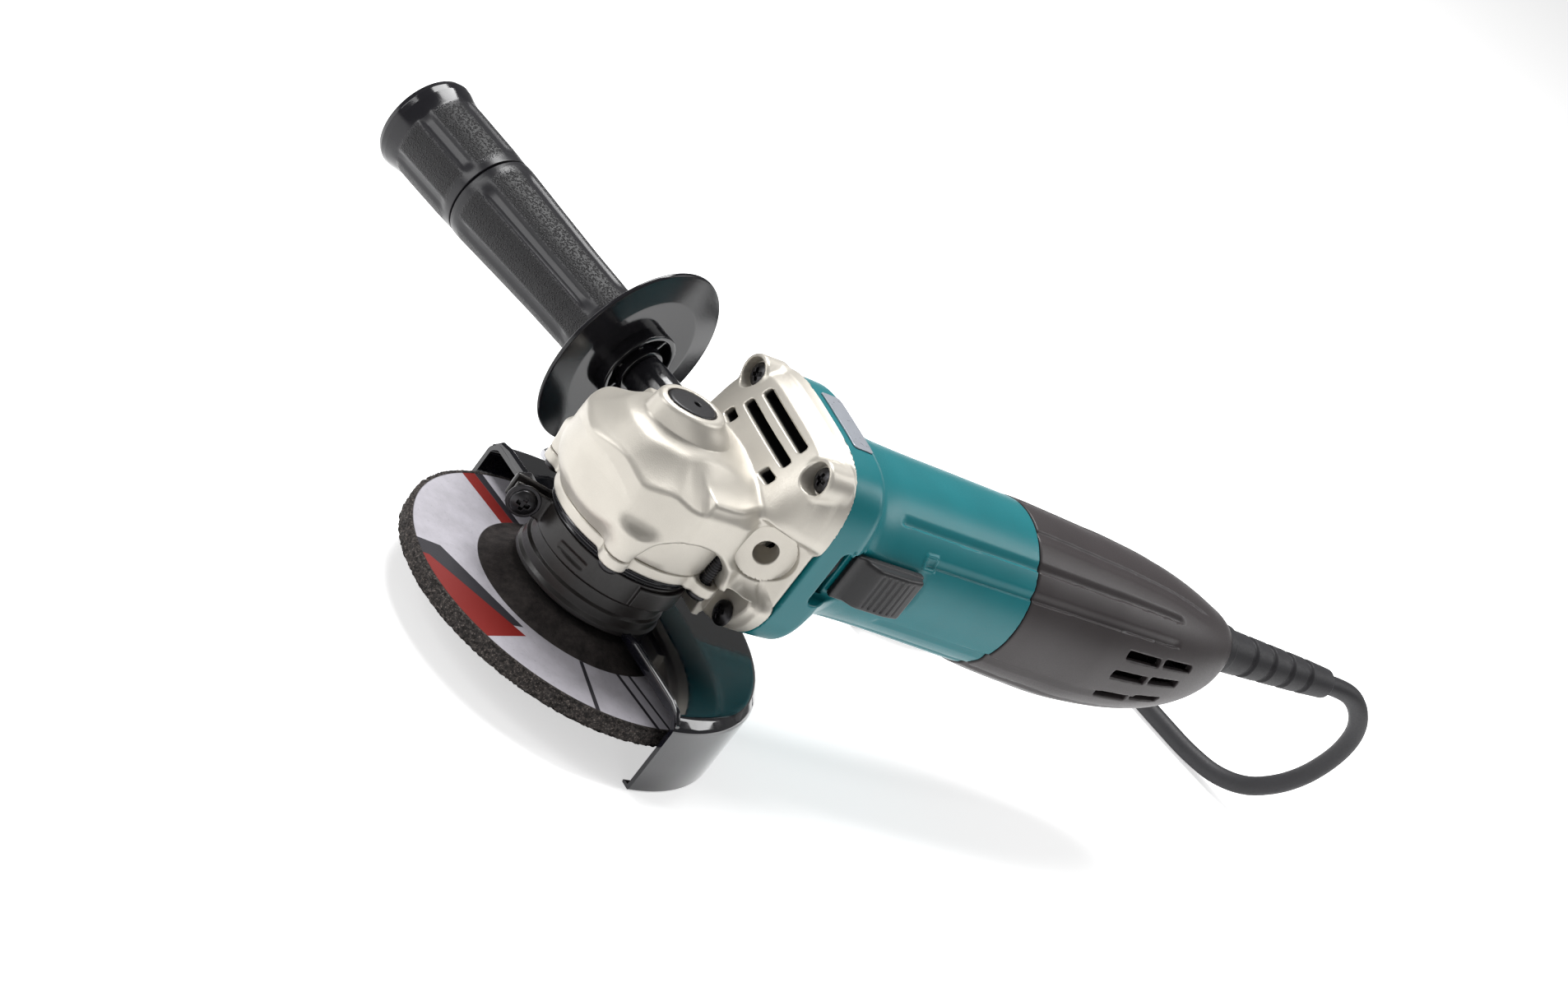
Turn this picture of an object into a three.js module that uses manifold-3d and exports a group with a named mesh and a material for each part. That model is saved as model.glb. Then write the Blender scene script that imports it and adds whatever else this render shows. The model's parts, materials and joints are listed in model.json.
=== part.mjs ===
// Slim corded angle grinder, 115 mm, with side grip, adjustable guard and grinding wheel.
// Millimetres. +X runs from the spindle to the cord, +Y to the side grip, +Z up along the spindle.
// The origin is on the spindle axis, in the plane of the guard skirt's lower edge.
import * as THREE from 'three';
import { mergeVertices } from 'three/addons/utils/BufferGeometryUtils.js';
import Module from 'manifold-3d';

const wasm = await Module();
wasm.setup();

// ---------------------------------------------------------------- driving dimensions
const GAP = 0.3;

const AXIS_Z = 71.4; // motor axis above the guard skirt's edge

const WHEEL_R = 57.5;
const WHEEL_BORE_R = 11.1;
const WHEEL_Z = 12.5; // lowest face
const WHEEL_T = 6;
const WHEEL_RISE = 4.6; // how far the hub is depressed towards the tool

const SPINDLE_R = 7; // M14
const GUARD_R = 63.8;
const GUARD_T = 1.6;
const GUARD_TOP_Z = 27.5;
const GUARD_START = -84; // degrees from +X
const GUARD_END = 99;
const COLLAR_R = 22.4; // inside of the guard's clamp band
const BAND_Z = 36.3; // lower edge of the clamp band
const BAND_TOP_Z = 44.9;
const RING_R = 25.2; // outside of the guard's base ring where it is open

const HOUSING_FLOOR_Z = 52.6; // underside of the gear housing
const GEAR_BORE_R = 22.9;
const BOX_LUGS = [[-17, -23.4], [-17, 23.4], [17, -23.4], [17, 23.4]];

const SQUARE = 34.4; // half size of the flange between gear housing and motor housing
const FLANGE_X = 37.4;
const SCREW_Y = 25.5;
const SCREW_Z = 26.7;
const SCREW_HEAD_X = 26.7;

const BUTTON = { x: -8, top: 95, long: 8.6, wide: 6.2, travel: 3 };
const PIN_X = -10;
const CUP_FLOOR_Z = 86;

const PINION_TEETH = 10;
const GEAR_TEETH = 34;
const GEAR_R = 20.4; // outer pitch radius
const GEAR_IN = 14.5; // inner pitch radius
const CONE = PINION_TEETH / GEAR_TEETH;

const BARREL_R = 27.7;
const BARREL_BORE_R = 25;
const BARREL_END_X = 131.1;
const REAR_END_X = 239.3;

const GRIP_AT = new THREE.Vector3(27, 26.4, 69.4); // centre of the right-hand boss
const GRIP_TILT = 19.2; // degrees forward of +Y
const GRIP_FLANGE_R = 34.5;
const GRIP_LENGTH = 154.3;

const KNOB = { from: 55.6, to: 83.4, travel: 7 }; // slide switch, off

const CORD_D = 7;
const CORD_EXIT_X = 299.3;
const CORD_Z = 1.6; // height of the cord guard above the motor axis
const COIL = { x: 187, y: 118.9, in: 22.6, out: 58, z0: 1.4, z1: 15.6 };

// ---------------------------------------------------------------- colours
const paint = (color, roughness, metalness) => ({ color, roughness, metalness });
const ALUMINIUM = paint(0xc9c6bd, 0.45, 0.75);
const TEAL = paint(0x15808a, 0.45, 0);
const GREY_PLASTIC = paint(0x46403f, 0.55, 0);
const BLACK_PLASTIC = paint(0x17171a, 0.5, 0);
const RUBBER = paint(0x2b2b2d, 0.75, 0);
const BLACK_ENAMEL = paint(0x0c0d12, 0.2, 0.1);
const STEEL = paint(0x9a9ca0, 0.35, 0.95);
const DARK_STEEL = paint(0x35363a, 0.4, 0.8);
const COPPER = paint(0xb06a3c, 0.4, 0.85);
const LAMINATION = paint(0x6e7074, 0.5, 0.8);
const ABRASIVE = paint(0x6b6a70, 0.95, 0);
const CARBON = paint(0x1c1c1e, 0.8, 0);
const NYLON = paint(0x202327, 0.6, 0);
const PLATE = paint(0xb9bdc6, 0.4, 0.4);

// ---------------------------------------------------------------- solids
const solid = (geometry) => {
  const bare = geometry.clone();
  bare.deleteAttribute('normal');
  bare.deleteAttribute('uv');
  const merged = mergeVertices(bare, 1e-4);
  const vertProperties = new Float32Array(merged.attributes.position.array);
  const triVerts = new Uint32Array(merged.index.array);
  return new wasm.Manifold(new wasm.Mesh({ numProp: 3, vertProperties, triVerts }));
};

const surface = (manifold) => {
  const mesh = manifold.getMesh();
  const geometry = new THREE.BufferGeometry();
  geometry.setAttribute('position', new THREE.BufferAttribute(new Float32Array(mesh.vertProperties), 3));
  geometry.setIndex(new THREE.BufferAttribute(new Uint32Array(mesh.triVerts), 1));
  geometry.computeVertexNormals();
  return geometry;
};

const box = (x0, x1, y0, y1, z0, z1) => {
  const g = new THREE.BoxGeometry(x1 - x0, y1 - y0, z1 - z0);
  return g.translate((x0 + x1) / 2, (y0 + y1) / 2, (z0 + z1) / 2);
};

// A cylinder along Z from z0 to z1.
const rod = (r, z0, z1, x = 0, y = 0, sides = 24) => {
  const g = new THREE.CylinderGeometry(r, r, z1 - z0, sides);
  return g.rotateX(Math.PI / 2).translate(x, y, (z0 + z1) / 2);
};

// A cylinder along X, offset from the motor axis by (y, z).
const shaft = (r, x0, x1, y = 0, z = 0, sides = 24) => {
  const g = new THREE.CylinderGeometry(r, r, x1 - x0, sides);
  return g.rotateZ(Math.PI / 2).translate((x0 + x1) / 2, y, AXIS_Z + z);
};

// A closed outline of [radius, height] pairs, put in the order that makes the turned faces point out.
const turnedOutline = (pairs) => {
  const points = pairs.map(([r, h]) => new THREE.Vector2(r, h));
  if (THREE.ShapeUtils.area(points) < 0) points.reverse();
  return [...points, points[0].clone()];
};

// A closed [radius, height] profile turned about Z.
const turned = (profile, sides = 32) => (
  new THREE.LatheGeometry(turnedOutline(profile), sides).rotateX(Math.PI / 2)
);

// A closed [x, radius] profile turned about the motor axis.
const turnedX = (profile, sides = 32) => {
  const outline = turnedOutline(profile.map(([x, r]) => [r, x]));
  return new THREE.LatheGeometry(outline, sides).rotateZ(-Math.PI / 2).translate(0, 0, AXIS_Z);
};

const power = (v, e) => Math.sign(v) * Math.abs(v) ** e;

// A skin lofted along X through superelliptical sections { x, z, w, h, n } about the motor axis.
const lofted = (sections, sides = 32, inset = 0) => {
  const outline = new THREE.Shape();
  for (let i = 0; i < sides; i += 1) {
    const a = (2 * Math.PI * i) / sides;
    outline[i ? 'lineTo' : 'moveTo'](Math.cos(a), Math.sin(a));
  }
  outline.closePath();
  const steps = sections.length - 1;
  const g = new THREE.ExtrudeGeometry(outline, { depth: steps, steps, bevelEnabled: false });
  const p = g.attributes.position;
  for (let i = 0; i < p.count; i += 1) {
    const s = sections[Math.round(p.getZ(i))];
    const y = power(p.getX(i), 2 / s.n) * (s.w - inset);
    const z = power(p.getY(i), 2 / s.n) * (s.h - inset);
    p.setXYZ(i, s.x, y, AXIS_Z + s.z + z);
  }
  return g;
};

// A sector of a ring about Z, between two angles in degrees.
const sector = (r0, r1, from, to, z0, z1, steps = 24) => {
  const outline = new THREE.Shape();
  for (let i = 0; i <= steps; i += 1) {
    const a = THREE.MathUtils.degToRad(from + ((to - from) * i) / steps);
    outline[i ? 'lineTo' : 'moveTo'](r1 * Math.cos(a), r1 * Math.sin(a));
  }
  for (let i = steps; i >= 0; i -= 1) {
    const a = THREE.MathUtils.degToRad(from + ((to - from) * i) / steps);
    outline.lineTo(r0 * Math.cos(a), r0 * Math.sin(a));
  }
  outline.closePath();
  const g = new THREE.ExtrudeGeometry(outline, { depth: z1 - z0, bevelEnabled: false, curveSegments: 1 });
  return g.translate(0, 0, z0);
};

// A tube along a smooth curve through points. Its section has twice `half` sides.
const tube = (points, diameter, steps, half = 5) => {
  const section = new THREE.Shape();
  section.absarc(0, 0, diameter / 2, 0, 2 * Math.PI, false);
  const extrudePath = new THREE.CatmullRomCurve3(points.map((p) => new THREE.Vector3(...p)));
  return new THREE.ExtrudeGeometry(section, { steps, extrudePath, bevelEnabled: false, curveSegments: half });
};

const plus = (...pieces) => pieces.map(solidOf).reduce((a, b) => a.add(b));
const minus = (body, ...pieces) => pieces.map(solidOf).reduce((a, b) => a.subtract(b), solidOf(body));
function solidOf(piece) {
  return piece instanceof THREE.BufferGeometry ? solid(piece) : piece;
}

// Moves a piece built along +Z onto the side grip's axis, on the right or the left of the tool.
const onGripAxis = (geometry, side = 1) => {
  const tilt = THREE.MathUtils.degToRad(GRIP_TILT);
  const direction = new THREE.Vector3(-Math.sin(tilt), side * Math.cos(tilt), 0);
  const turn = new THREE.Quaternion().setFromUnitVectors(new THREE.Vector3(0, 0, 1), direction);
  const at = new THREE.Vector3(GRIP_AT.x, side * GRIP_AT.y, GRIP_AT.z);
  return geometry.clone().applyQuaternion(turn).translate(at.x, at.y, at.z);
};

const grinder = new THREE.Group();

const add = (name, shape, { color, roughness, metalness }) => {
  const geometry = shape instanceof THREE.BufferGeometry ? shape : surface(shape);
  const material = new THREE.MeshStandardMaterial({ color, roughness, metalness });
  const mesh = new THREE.Mesh(geometry, material);
  mesh.name = name;
  grinder.add(mesh);
};

const CORNERS = [[-1, -1], [-1, 1], [1, -1], [1, 1]];

// ---------------------------------------------------------------- wheel, flanges and spindle
const hubTop = WHEEL_Z + WHEEL_T + WHEEL_RISE;
const hubBottom = WHEEL_Z + WHEEL_RISE;

add('grinding_wheel', turned([
  [WHEEL_BORE_R, hubBottom], [21.5, hubBottom], [29, WHEEL_Z], [WHEEL_R, WHEEL_Z],
  [WHEEL_R, WHEEL_Z + WHEEL_T], [30, WHEEL_Z + WHEEL_T], [24, hubTop], [WHEEL_BORE_R, hubTop],
], 36), ABRASIVE);

add('inner_flange', turned([
  [7.4, 18.5], [10.8, 18.5], [10.8, hubTop + GAP], [20, hubTop + GAP], [20, 26],
  [12.5, 27.2], [12.5, 29.2], [7.4, 29.2],
], 20), STEEL);

const nutBlank = turned([
  [7.3, 11.4], [18.4, 11.4], [19, 12], [19, hubBottom - GAP], [7.3, hubBottom - GAP],
], 20);
const spannerHoles = [0, 1, 2, 3].map((i) => {
  const a = (i * Math.PI) / 2 + Math.PI / 4;
  return rod(2.1, 10, 14.6, 14 * Math.cos(a), 14 * Math.sin(a), 8);
});
add('lock_nut', minus(nutBlank, ...spannerHoles), DARK_STEEL);

add('spindle', turned([
  [0, 9.6], [6.2, 9.6], [SPINDLE_R, 10.4], [SPINDLE_R, 29.5], [9, 29.5], [9, 33.2], [7.5, 33.2],
  [7.5, 46.2], [9.2, 46.2], [9.2, 48.5], [6, 48.5], [6, 62], [4, 62.8], [4, 84.2], [0, 84.2],
], 14), STEEL);

// ---------------------------------------------------------------- bevel gears
const PITCH_APEX = AXIS_Z;
const addendum = 1.2 / GEAR_R;
const dedendum = 1.5 / GEAR_R;

// Teeth are blocks that taper towards the common apex of the two pitch cones.
const toothBlank = (halfTop, halfRoot, tip, root, near, far) => {
  const outline = new THREE.Shape();
  outline.moveTo(-halfRoot, root);
  outline.lineTo(halfRoot, root);
  outline.lineTo(halfTop, tip);
  outline.lineTo(-halfTop, tip);
  outline.closePath();
  const g = new THREE.ExtrudeGeometry(outline, { depth: 1, steps: 1, bevelEnabled: false });
  const p = g.attributes.position;
  for (let i = 0; i < p.count; i += 1) {
    const reach = p.getZ(i) > 0.5 ? far : near;
    p.setXYZ(i, reach, p.getX(i) * reach, p.getY(i) * reach);
  }
  return g;
};

const halfPitch = Math.PI / GEAR_TEETH / 2;

const gearRoot = (r) => PITCH_APEX - r * (CONE + dedendum);
const gearBlank = turned([
  [6.3, 56], [11, 56], [11, 58.2], [GEAR_R + 0.6, 58.2], [GEAR_R + 0.6, gearRoot(GEAR_R + 0.6)],
  [GEAR_IN - 0.6, gearRoot(GEAR_IN - 0.6)], [GEAR_IN - 0.9, 65], [6.3, 65],
], 17);
const gearTooth = toothBlank(
  halfPitch * 0.5, halfPitch * 1.0, -(CONE - addendum), -(CONE + dedendum + 0.02), GEAR_IN, GEAR_R,
).translate(0, 0, PITCH_APEX);
const gearTeeth = [];
for (let i = 0; i < GEAR_TEETH; i += 1) {
  gearTeeth.push(gearTooth.clone().rotateZ((2 * Math.PI * (i + 0.5)) / GEAR_TEETH));
}
const lockHoles = [0, 1, 2, 3].map((i) => {
  const a = (i * Math.PI) / 2;
  return rod(3, 60.5, 70, PIN_X * Math.cos(a), PIN_X * Math.sin(a), 8);
});
add('bevel_gear', minus(plus(gearBlank, ...gearTeeth), ...lockHoles), DARK_STEEL);

const pinionRoot = (x) => x * (CONE - dedendum);
const pinionBlank = turnedX([
  [GEAR_IN, 2.8], [GEAR_R, 2.8], [GEAR_R, pinionRoot(GEAR_R)], [GEAR_IN, pinionRoot(GEAR_IN)],
], 10);
const pinionHalf = (Math.PI / PINION_TEETH / 2) * CONE;
const pinionTooth = toothBlank(
  pinionHalf * 0.45, pinionHalf * 1.05, -(CONE + addendum), -(CONE - dedendum - 0.02), GEAR_IN, GEAR_R,
);
const pinionTeeth = [];
for (let i = 0; i < PINION_TEETH; i += 1) {
  const tooth = pinionTooth.clone().rotateX((2 * Math.PI * i) / PINION_TEETH);
  pinionTeeth.push(tooth.translate(0, 0, AXIS_Z));
}
add('bevel_pinion', plus(pinionBlank, ...pinionTeeth), DARK_STEEL);

// ---------------------------------------------------------------- bearings
const bearingProfile = (r0, r1, w) => [
  [r0, 0], [r0 + 2.2, 0], [r0 + 2.4, 0.6], [r1 - 2.4, 0.6], [r1 - 2.2, 0], [r1, 0], [r1, w], [r0, w],
];
add('lower_bearing', turned(bearingProfile(7.8, 17.5, 11), 18).translate(0, 0, 34.6), STEEL);
add('upper_bearing', turned([[4.3, 76.5], [7, 76.5], [7, 84], [4.3, 84]], 14), STEEL);
const motorBearing = (x, r0, r1, w) => turnedX(bearingProfile(r0, r1, w).map(([r, h]) => [x + h, r]), 16);
add('front_motor_bearing', motorBearing(27.6, 5.4, 12.9, 8), STEEL);
add('rear_motor_bearing', motorBearing(133.4, 4.3, 11, 7), STEEL);
add('bearing_sleeve', turnedX([[133, 11.3], [140.6, 11.3], [140.6, 12.7], [133, 12.7]], 16), RUBBER);

// ---------------------------------------------------------------- bearing box under the gear housing
const boxBody = turned([
  [9.6, 30.2], [COLLAR_R - GAP, 30.2], [COLLAR_R - GAP, 46], [24.6, 48.2], [26, 49], [26, HOUSING_FLOOR_Z - GAP],
  [GEAR_BORE_R - GAP, HOUSING_FLOOR_Z - GAP], [GEAR_BORE_R - GAP, 55.6], [18, 55.6], [18, 34.2], [9.6, 34.2],
], 20);
const boxLugs = BOX_LUGS.map(([x, y]) => rod(4.6, 48.6, HOUSING_FLOOR_Z - GAP, x, y, 10));
const boxHoles = BOX_LUGS.map(([x, y]) => rod(2.5, 47, 53, x, y, 8));
add('bearing_box', minus(plus(boxBody, ...boxLugs), ...boxHoles), ALUMINIUM);

BOX_LUGS.forEach(([x, y], i) => {
  const screw = minus(plus(rod(3.4, 45.5, 48.3, x, y, 10), rod(1.9, 48, 61, x, y, 6)), rod(1.2, 45, 47, x, y, 6));
  add(`box_screw_${i + 1}`, screw, DARK_STEEL);
});

// ---------------------------------------------------------------- guard
const skirt = sector(GUARD_R - GUARD_T, GUARD_R, GUARD_START, GUARD_END, 0, GUARD_TOP_Z - 0.6, 22);
const lip = sector(GUARD_R - 4.2, GUARD_R - 0.5, GUARD_START, GUARD_END, 0, GUARD_T, 22);
const roof = sector(COLLAR_R + 1, GUARD_R - 0.6, GUARD_START, GUARD_END, GUARD_TOP_Z - GUARD_T, GUARD_TOP_Z, 22);
const roofRing = turned([
  [COLLAR_R, GUARD_TOP_Z - GUARD_T], [RING_R, GUARD_TOP_Z - GUARD_T], [RING_R, GUARD_TOP_Z], [24.4, 28.4], [24.4, 31.4],
  [23.4, 32], [23.4, BAND_Z - GAP], [COLLAR_R, BAND_Z - GAP],
], 28);
const foldedEnd = box(-1.2, 0.4, 28, GUARD_R - 1.1, GUARD_TOP_Z - 1, GUARD_TOP_Z + 3)
  .rotateZ(THREE.MathUtils.degToRad(GUARD_END - 90));
add('guard', plus(skirt, lip, roof, roofRing, foldedEnd), BLACK_ENAMEL);

const band = turned([
  [COLLAR_R, BAND_Z], [COLLAR_R + 1.8, BAND_Z], [COLLAR_R + 1.8, BAND_TOP_Z], [COLLAR_R, BAND_TOP_Z],
], 28);
const strap = sector(COLLAR_R + 1, COLLAR_R + 3.2, -96, 20, BAND_Z + 0.6, BAND_TOP_Z - 0.8, 12);
const EAR_ANGLE = 156; // where the band is split
const EAR_SCREW_Z = 40.6;
const earTurn = THREE.MathUtils.degToRad(EAR_ANGLE);
const ears = [-3.6, 2].map((y) => box(COLLAR_R + 0.5, 36, y, y + 1.6, BAND_Z + 0.4, BAND_TOP_Z));
const split = box(20, 30, -1.6, 1.6, BAND_Z - 1, BAND_TOP_Z + 1);
const screwHole = rod(2.4, -6, 6, 0, 0, 12).rotateX(Math.PI / 2).translate(31.5, 0, EAR_SCREW_Z);
const clampBand = minus(
  plus(band, strap, ...ears.map((g) => g.rotateZ(earTurn))),
  split.rotateZ(earTurn),
  screwHole.rotateZ(earTurn),
  box(COLLAR_R - 1, COLLAR_R + 1, -5, 5, 39, 41).rotateZ(THREE.MathUtils.degToRad(-150)),
);
add('guard_band', clampBand, BLACK_ENAMEL);

const alongEars = (geometry) => geometry.rotateX(Math.PI / 2).translate(31.5, 0, EAR_SCREW_Z).rotateZ(earTurn);
add('clamp_screw', minus(
  plus(alongEars(rod(2.1, -10, 7, 0, 0, 8)), alongEars(rod(4, 3.9, 7, 0, 0, 12))),
  alongEars(box(-3, 3, -0.5, 0.5, 5.6, 8)),
  alongEars(box(-0.5, 0.5, -3, 3, 5.6, 8)),
), DARK_STEEL);
add('clamp_nut', alongEars(turned([[2.8, -7.6], [4.2, -7.6], [4.2, -3.9], [2.8, -3.9]], 6)), DARK_STEEL);

// ---------------------------------------------------------------- gear housing
const headSections = [
  { x: -32.4, z: -9, w: 11, h: 10, n: 2.4 },
  { x: -30.2, z: -7.5, w: 17.5, h: 15.5, n: 2.5 },
  { x: -24.5, z: -6.2, w: 24, h: 20.6, n: 2.7 },
  { x: -14, z: -4.2, w: 28, h: 23, n: 2.9 },
  { x: -2, z: -3.4, w: 28.6, h: 24, n: 3 },
  { x: 10, z: -3.4, w: 26.6, h: 24, n: 3 },
  { x: 19, z: -3.6, w: 25.6, h: 23.6, n: 3.2 },
  { x: 30, z: 0, w: 28, h: 30, n: 3.6 },
];
const flangeSections = [
  { x: 18.2, z: 2, w: 23, h: 24, n: 3.4 },
  { x: 21.4, z: 0.8, w: 28, h: 30.5, n: 3.7 },
  { x: 26.6, z: 0, w: 32.8, h: 33.2, n: 3.9 },
  { x: FLANGE_X, z: 0, w: SQUARE, h: SQUARE, n: 4 },
];
const buttonCup = turned([[0, 80], [13.5, 80], [11.8, 90], [9.4, 94.2], [0, 94.2]], 20)
  .scale(1, 0.82, 1).translate(BUTTON.x, 0, 0);
const housingBlank = minus(
  plus(lofted(headSections, 20), lofted(flangeSections, 20), buttonCup),
  ...[-1, 1].map((side) => onGripAxis(box(-21, 12, -15, 9, 0.8, 14), side)),
);
const bosses = [-1, 1].map((side) => onGripAxis(rod(8.7, -3, 0, 0, 0, 18), side));
const spotFaces = [-1, 1].map((side) => onGripAxis(rod(9.4, 0, 12, 0, 0, 18), side));

const ovalCut = (grow, z0, z1) => rod(1, z0, z1, 0, 0, 24)
  .scale(BUTTON.long + grow, BUTTON.wide + grow, 1).translate(BUTTON.x, 0, 0);
const handleHoles = [-1, 1].map((side) => onGripAxis(rod(3.9, -11, 1, 0, 0, 12), side));
const screwPockets = CORNERS.map(([y, z]) => shaft(5.3, 14, SCREW_HEAD_X + 3, y * SCREW_Y, z * SCREW_Z, 8));
const screwHoles = CORNERS.map(([y, z]) => shaft(2.8, 25, 39, y * SCREW_Y, z * SCREW_Z, 6));
const vents = [
  box(16, 36, -14.6, 14.6, AXIS_Z + 26.4, AXIS_Z + 29.6),
  box(14, 36, -15.6, 15.6, AXIS_Z + 20.6, AXIS_Z + 23.8),
  box(14, 36, 11.6, 17.4, AXIS_Z + 15, AXIS_Z + 17.8),
  box(14, 36, -17.4, -11.6, AXIS_Z + 15, AXIS_Z + 17.8),
  box(14, 36, -22.4, -18.6, AXIS_Z - 17.6, AXIS_Z - 13.4),
  box(14, 36, 18.6, 22.4, AXIS_Z - 17.6, AXIS_Z - 13.4),
];
const fanBay = minus(shaft(28, 33.4, 39, 0, 0, 20), shaft(16.2, 33, 36.6, 0, 0, 16));
const gearHousing = minus(
  plus(housingBlank, ...bosses),
  ...spotFaces,
  box(-50, 26.4, -50, 50, 20, HOUSING_FLOOR_Z),
  turned([[0, 40], [GEAR_BORE_R, 40], [GEAR_BORE_R, 72], [18, 75], [0, 75]], 20),
  rod(7.3, 74, 84.4, 0, 0, 16),
  rod(2.9, 70, 92, PIN_X, 0, 12),
  ovalCut(GAP, CUP_FLOOR_Z, 100),
  shaft(9.2, 5, 28, 0, 0, 14),
  shaft(13.5, 27.2, 40, 0, 0, 16),
  fanBay,
  ...handleHoles,
  ...screwPockets,
  ...screwHoles,
  ...vents,
  ...BOX_LUGS.map(([x, y]) => rod(2.4, 52, 62, x, y, 6)),
);
add('gear_housing', gearHousing, ALUMINIUM);

CORNERS.forEach(([y, z], i) => {
  const [cy, cz] = [y * SCREW_Y, z * SCREW_Z];
  const recess = [
    box(20, SCREW_HEAD_X + 1.6, cy - 2.6, cy + 2.6, AXIS_Z + cz - 0.5, AXIS_Z + cz + 0.5),
    box(20, SCREW_HEAD_X + 1.6, cy - 0.5, cy + 0.5, AXIS_Z + cz - 2.6, AXIS_Z + cz + 2.6),
  ];
  const head = shaft(4.2, SCREW_HEAD_X, SCREW_HEAD_X + 2.7, cy, cz, 12);
  add(`housing_screw_${i + 1}`, minus(plus(head, shaft(2.1, 29, 48, cy, cz, 6)), ...recess), DARK_STEEL);
});

// ---------------------------------------------------------------- shaft lock
const buttonTop = rod(1, BUTTON.top - 3.4, BUTTON.top, 0, 0, 24)
  .scale(BUTTON.long, BUTTON.wide, 1).translate(BUTTON.x, 0, 0);
const gripHole = rod(1.1, BUTTON.top - 1.5, BUTTON.top + 1, BUTTON.x + 1.5, 0, 12);
add('lock_button', minus(buttonTop, gripHole), BLACK_PLASTIC);
add('lock_pin', rod(2.4, 68.4, BUTTON.top - 3.7, PIN_X, 0, 16), STEEL);

// A round wire wound from height z0 to z1 about (x, y), with flat turns at both ends.
const spring = (r, wire, z0, z1, turns, x, y) => {
  const points = [];
  const count = Math.round(turns * 12);
  for (let i = 0; i <= count; i += 1) {
    const a = (2 * Math.PI * i) / 12;
    const climb = THREE.MathUtils.clamp((i - 8) / (count - 16), 0, 1);
    points.push([x + r * Math.cos(a), y + r * Math.sin(a), z0 + wire / 2 + (z1 - z0 - wire) * climb]);
  }
  return tube(points, wire, count, 2);
};
add('lock_spring', spring(3.5, 0.6, CUP_FLOOR_Z + GAP, BUTTON.top - 3.4 - GAP, 3, PIN_X, 0), STEEL);

// ---------------------------------------------------------------- armature
add('armature_shaft', turnedX([
  [13, 0], [141, 0], [141, 4], [132.4, 4], [132.4, 5], [22.6, 5], [22.6, 2.5], [13, 2.5],
], 14), STEEL);

const coreSlots = [];
for (let i = 0; i < 12; i += 1) {
  const slot = box(60, 112, -0.9, 0.9, 9, 17);
  coreSlots.push(slot.rotateX((i * Math.PI) / 6).translate(0, 0, AXIS_Z));
}
const coreBlank = turnedX([[66, 5.3], [106, 5.3], [106, 15.5], [66, 15.5]], 24);
add('armature_core', minus(coreBlank, ...coreSlots), LAMINATION);

const windingEnd = (x0, x1) => turnedX([
  [x0, 5.4], [x1, 5.4], [x1, 13.4], [(x0 + x1) / 2, 14.4], [x0, 11.5],
], 12);
const slotBars = [];
for (let i = 0; i < 12; i += 1) {
  const bar = box(65, 107, -0.6, 0.6, 9.3, 13);
  slotBars.push(bar.rotateX((i * Math.PI) / 6).translate(0, 0, AXIS_Z));
}
add('armature_windings', plus(windingEnd(57.5, 65.7), windingEnd(106.3, 113.5), ...slotBars), COPPER);

const segments = [];
for (let i = 0; i < 8; i += 1) {
  const cut = box(114, 126, -0.25, 0.25, 9.6, 12);
  segments.push(cut.rotateX((i * Math.PI) / 4).translate(0, 0, AXIS_Z));
}
const commutator = turnedX([[115.2, 5.3], [128, 5.3], [128, 10.6], [117.4, 10.6], [117.4, 11.8], [115.2, 11.8]], 16);
add('commutator', minus(commutator, ...segments), COPPER);

const blades = [];
for (let i = 0; i < 11; i += 1) {
  const blade = box(41.5, 49.6, 11, 24.6, -0.7, 0.7).rotateX(0.35).translate(0, 0, -4);
  blades.push(blade.rotateX((2 * Math.PI * i) / 11).translate(0, 0, AXIS_Z));
}
const fanDisc = turnedX([[41.2, 5.3], [51, 5.3], [51, 25.4], [49.2, 25.4], [49.2, 9.4], [41.2, 9.4]], 22);
add('cooling_fan', plus(fanDisc, ...blades), NYLON);

// ---------------------------------------------------------------- stator
const statorRing = minus(shaft(24.3, 64, 108), shaft(22.6, 60, 112));
const pole = (side) => {
  const shoe = minus(shaft(18, 64, 108), shaft(16.2, 60, 112));
  const window = box(60, 112, -12, 12, AXIS_Z + Math.min(0, side * 20), AXIS_Z + Math.max(0, side * 20));
  const neck = box(64, 108, -6.6, 6.6, AXIS_Z + side * 20 - 3.2, AXIS_Z + side * 20 + 3.2);
  return shoe.intersect(solid(window)).add(solid(neck));
};
add('stator_core', minus(plus(statorRing, pole(1), pole(-1)), shaft(16.2, 60, 112)), LAMINATION);

[1, -1].forEach((side, i) => {
  const [low, high] = side > 0 ? [18.3, 20] : [-20, -18.3];
  const coil = minus(box(59, 113, -9.8, 9.8, AXIS_Z + low, AXIS_Z + high),
    box(63.6, 108.4, -7, 7, AXIS_Z + low - 1, AXIS_Z + high + 1));
  add(`field_coil_${i + 1}`, coil, COPPER);
});

// ---------------------------------------------------------------- brush gear
const BRUSH_X = 123;
[1, -1].forEach((side, i) => {
  const block = (half, halfY, z0, z1) => {
    const g = box(BRUSH_X - half, BRUSH_X + half, -halfY, halfY, z0, z1);
    return (side < 0 ? g.rotateX(Math.PI) : g).translate(0, 0, AXIS_Z);
  };
  const holder = minus(block(5, 5.6, 12.4, 23.2), block(3.6, 4.1, 12, 22));
  add(`brush_holder_${i + 1}`, holder, NYLON);
  add(`carbon_brush_${i + 1}`, block(3.2, 3.7, 11, 18), CARBON);
});

add('fan_baffle', turnedX([[52.4, 18], [54, 18], [54, 26.4], [52.4, 26.4]], 16), NYLON);

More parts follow.
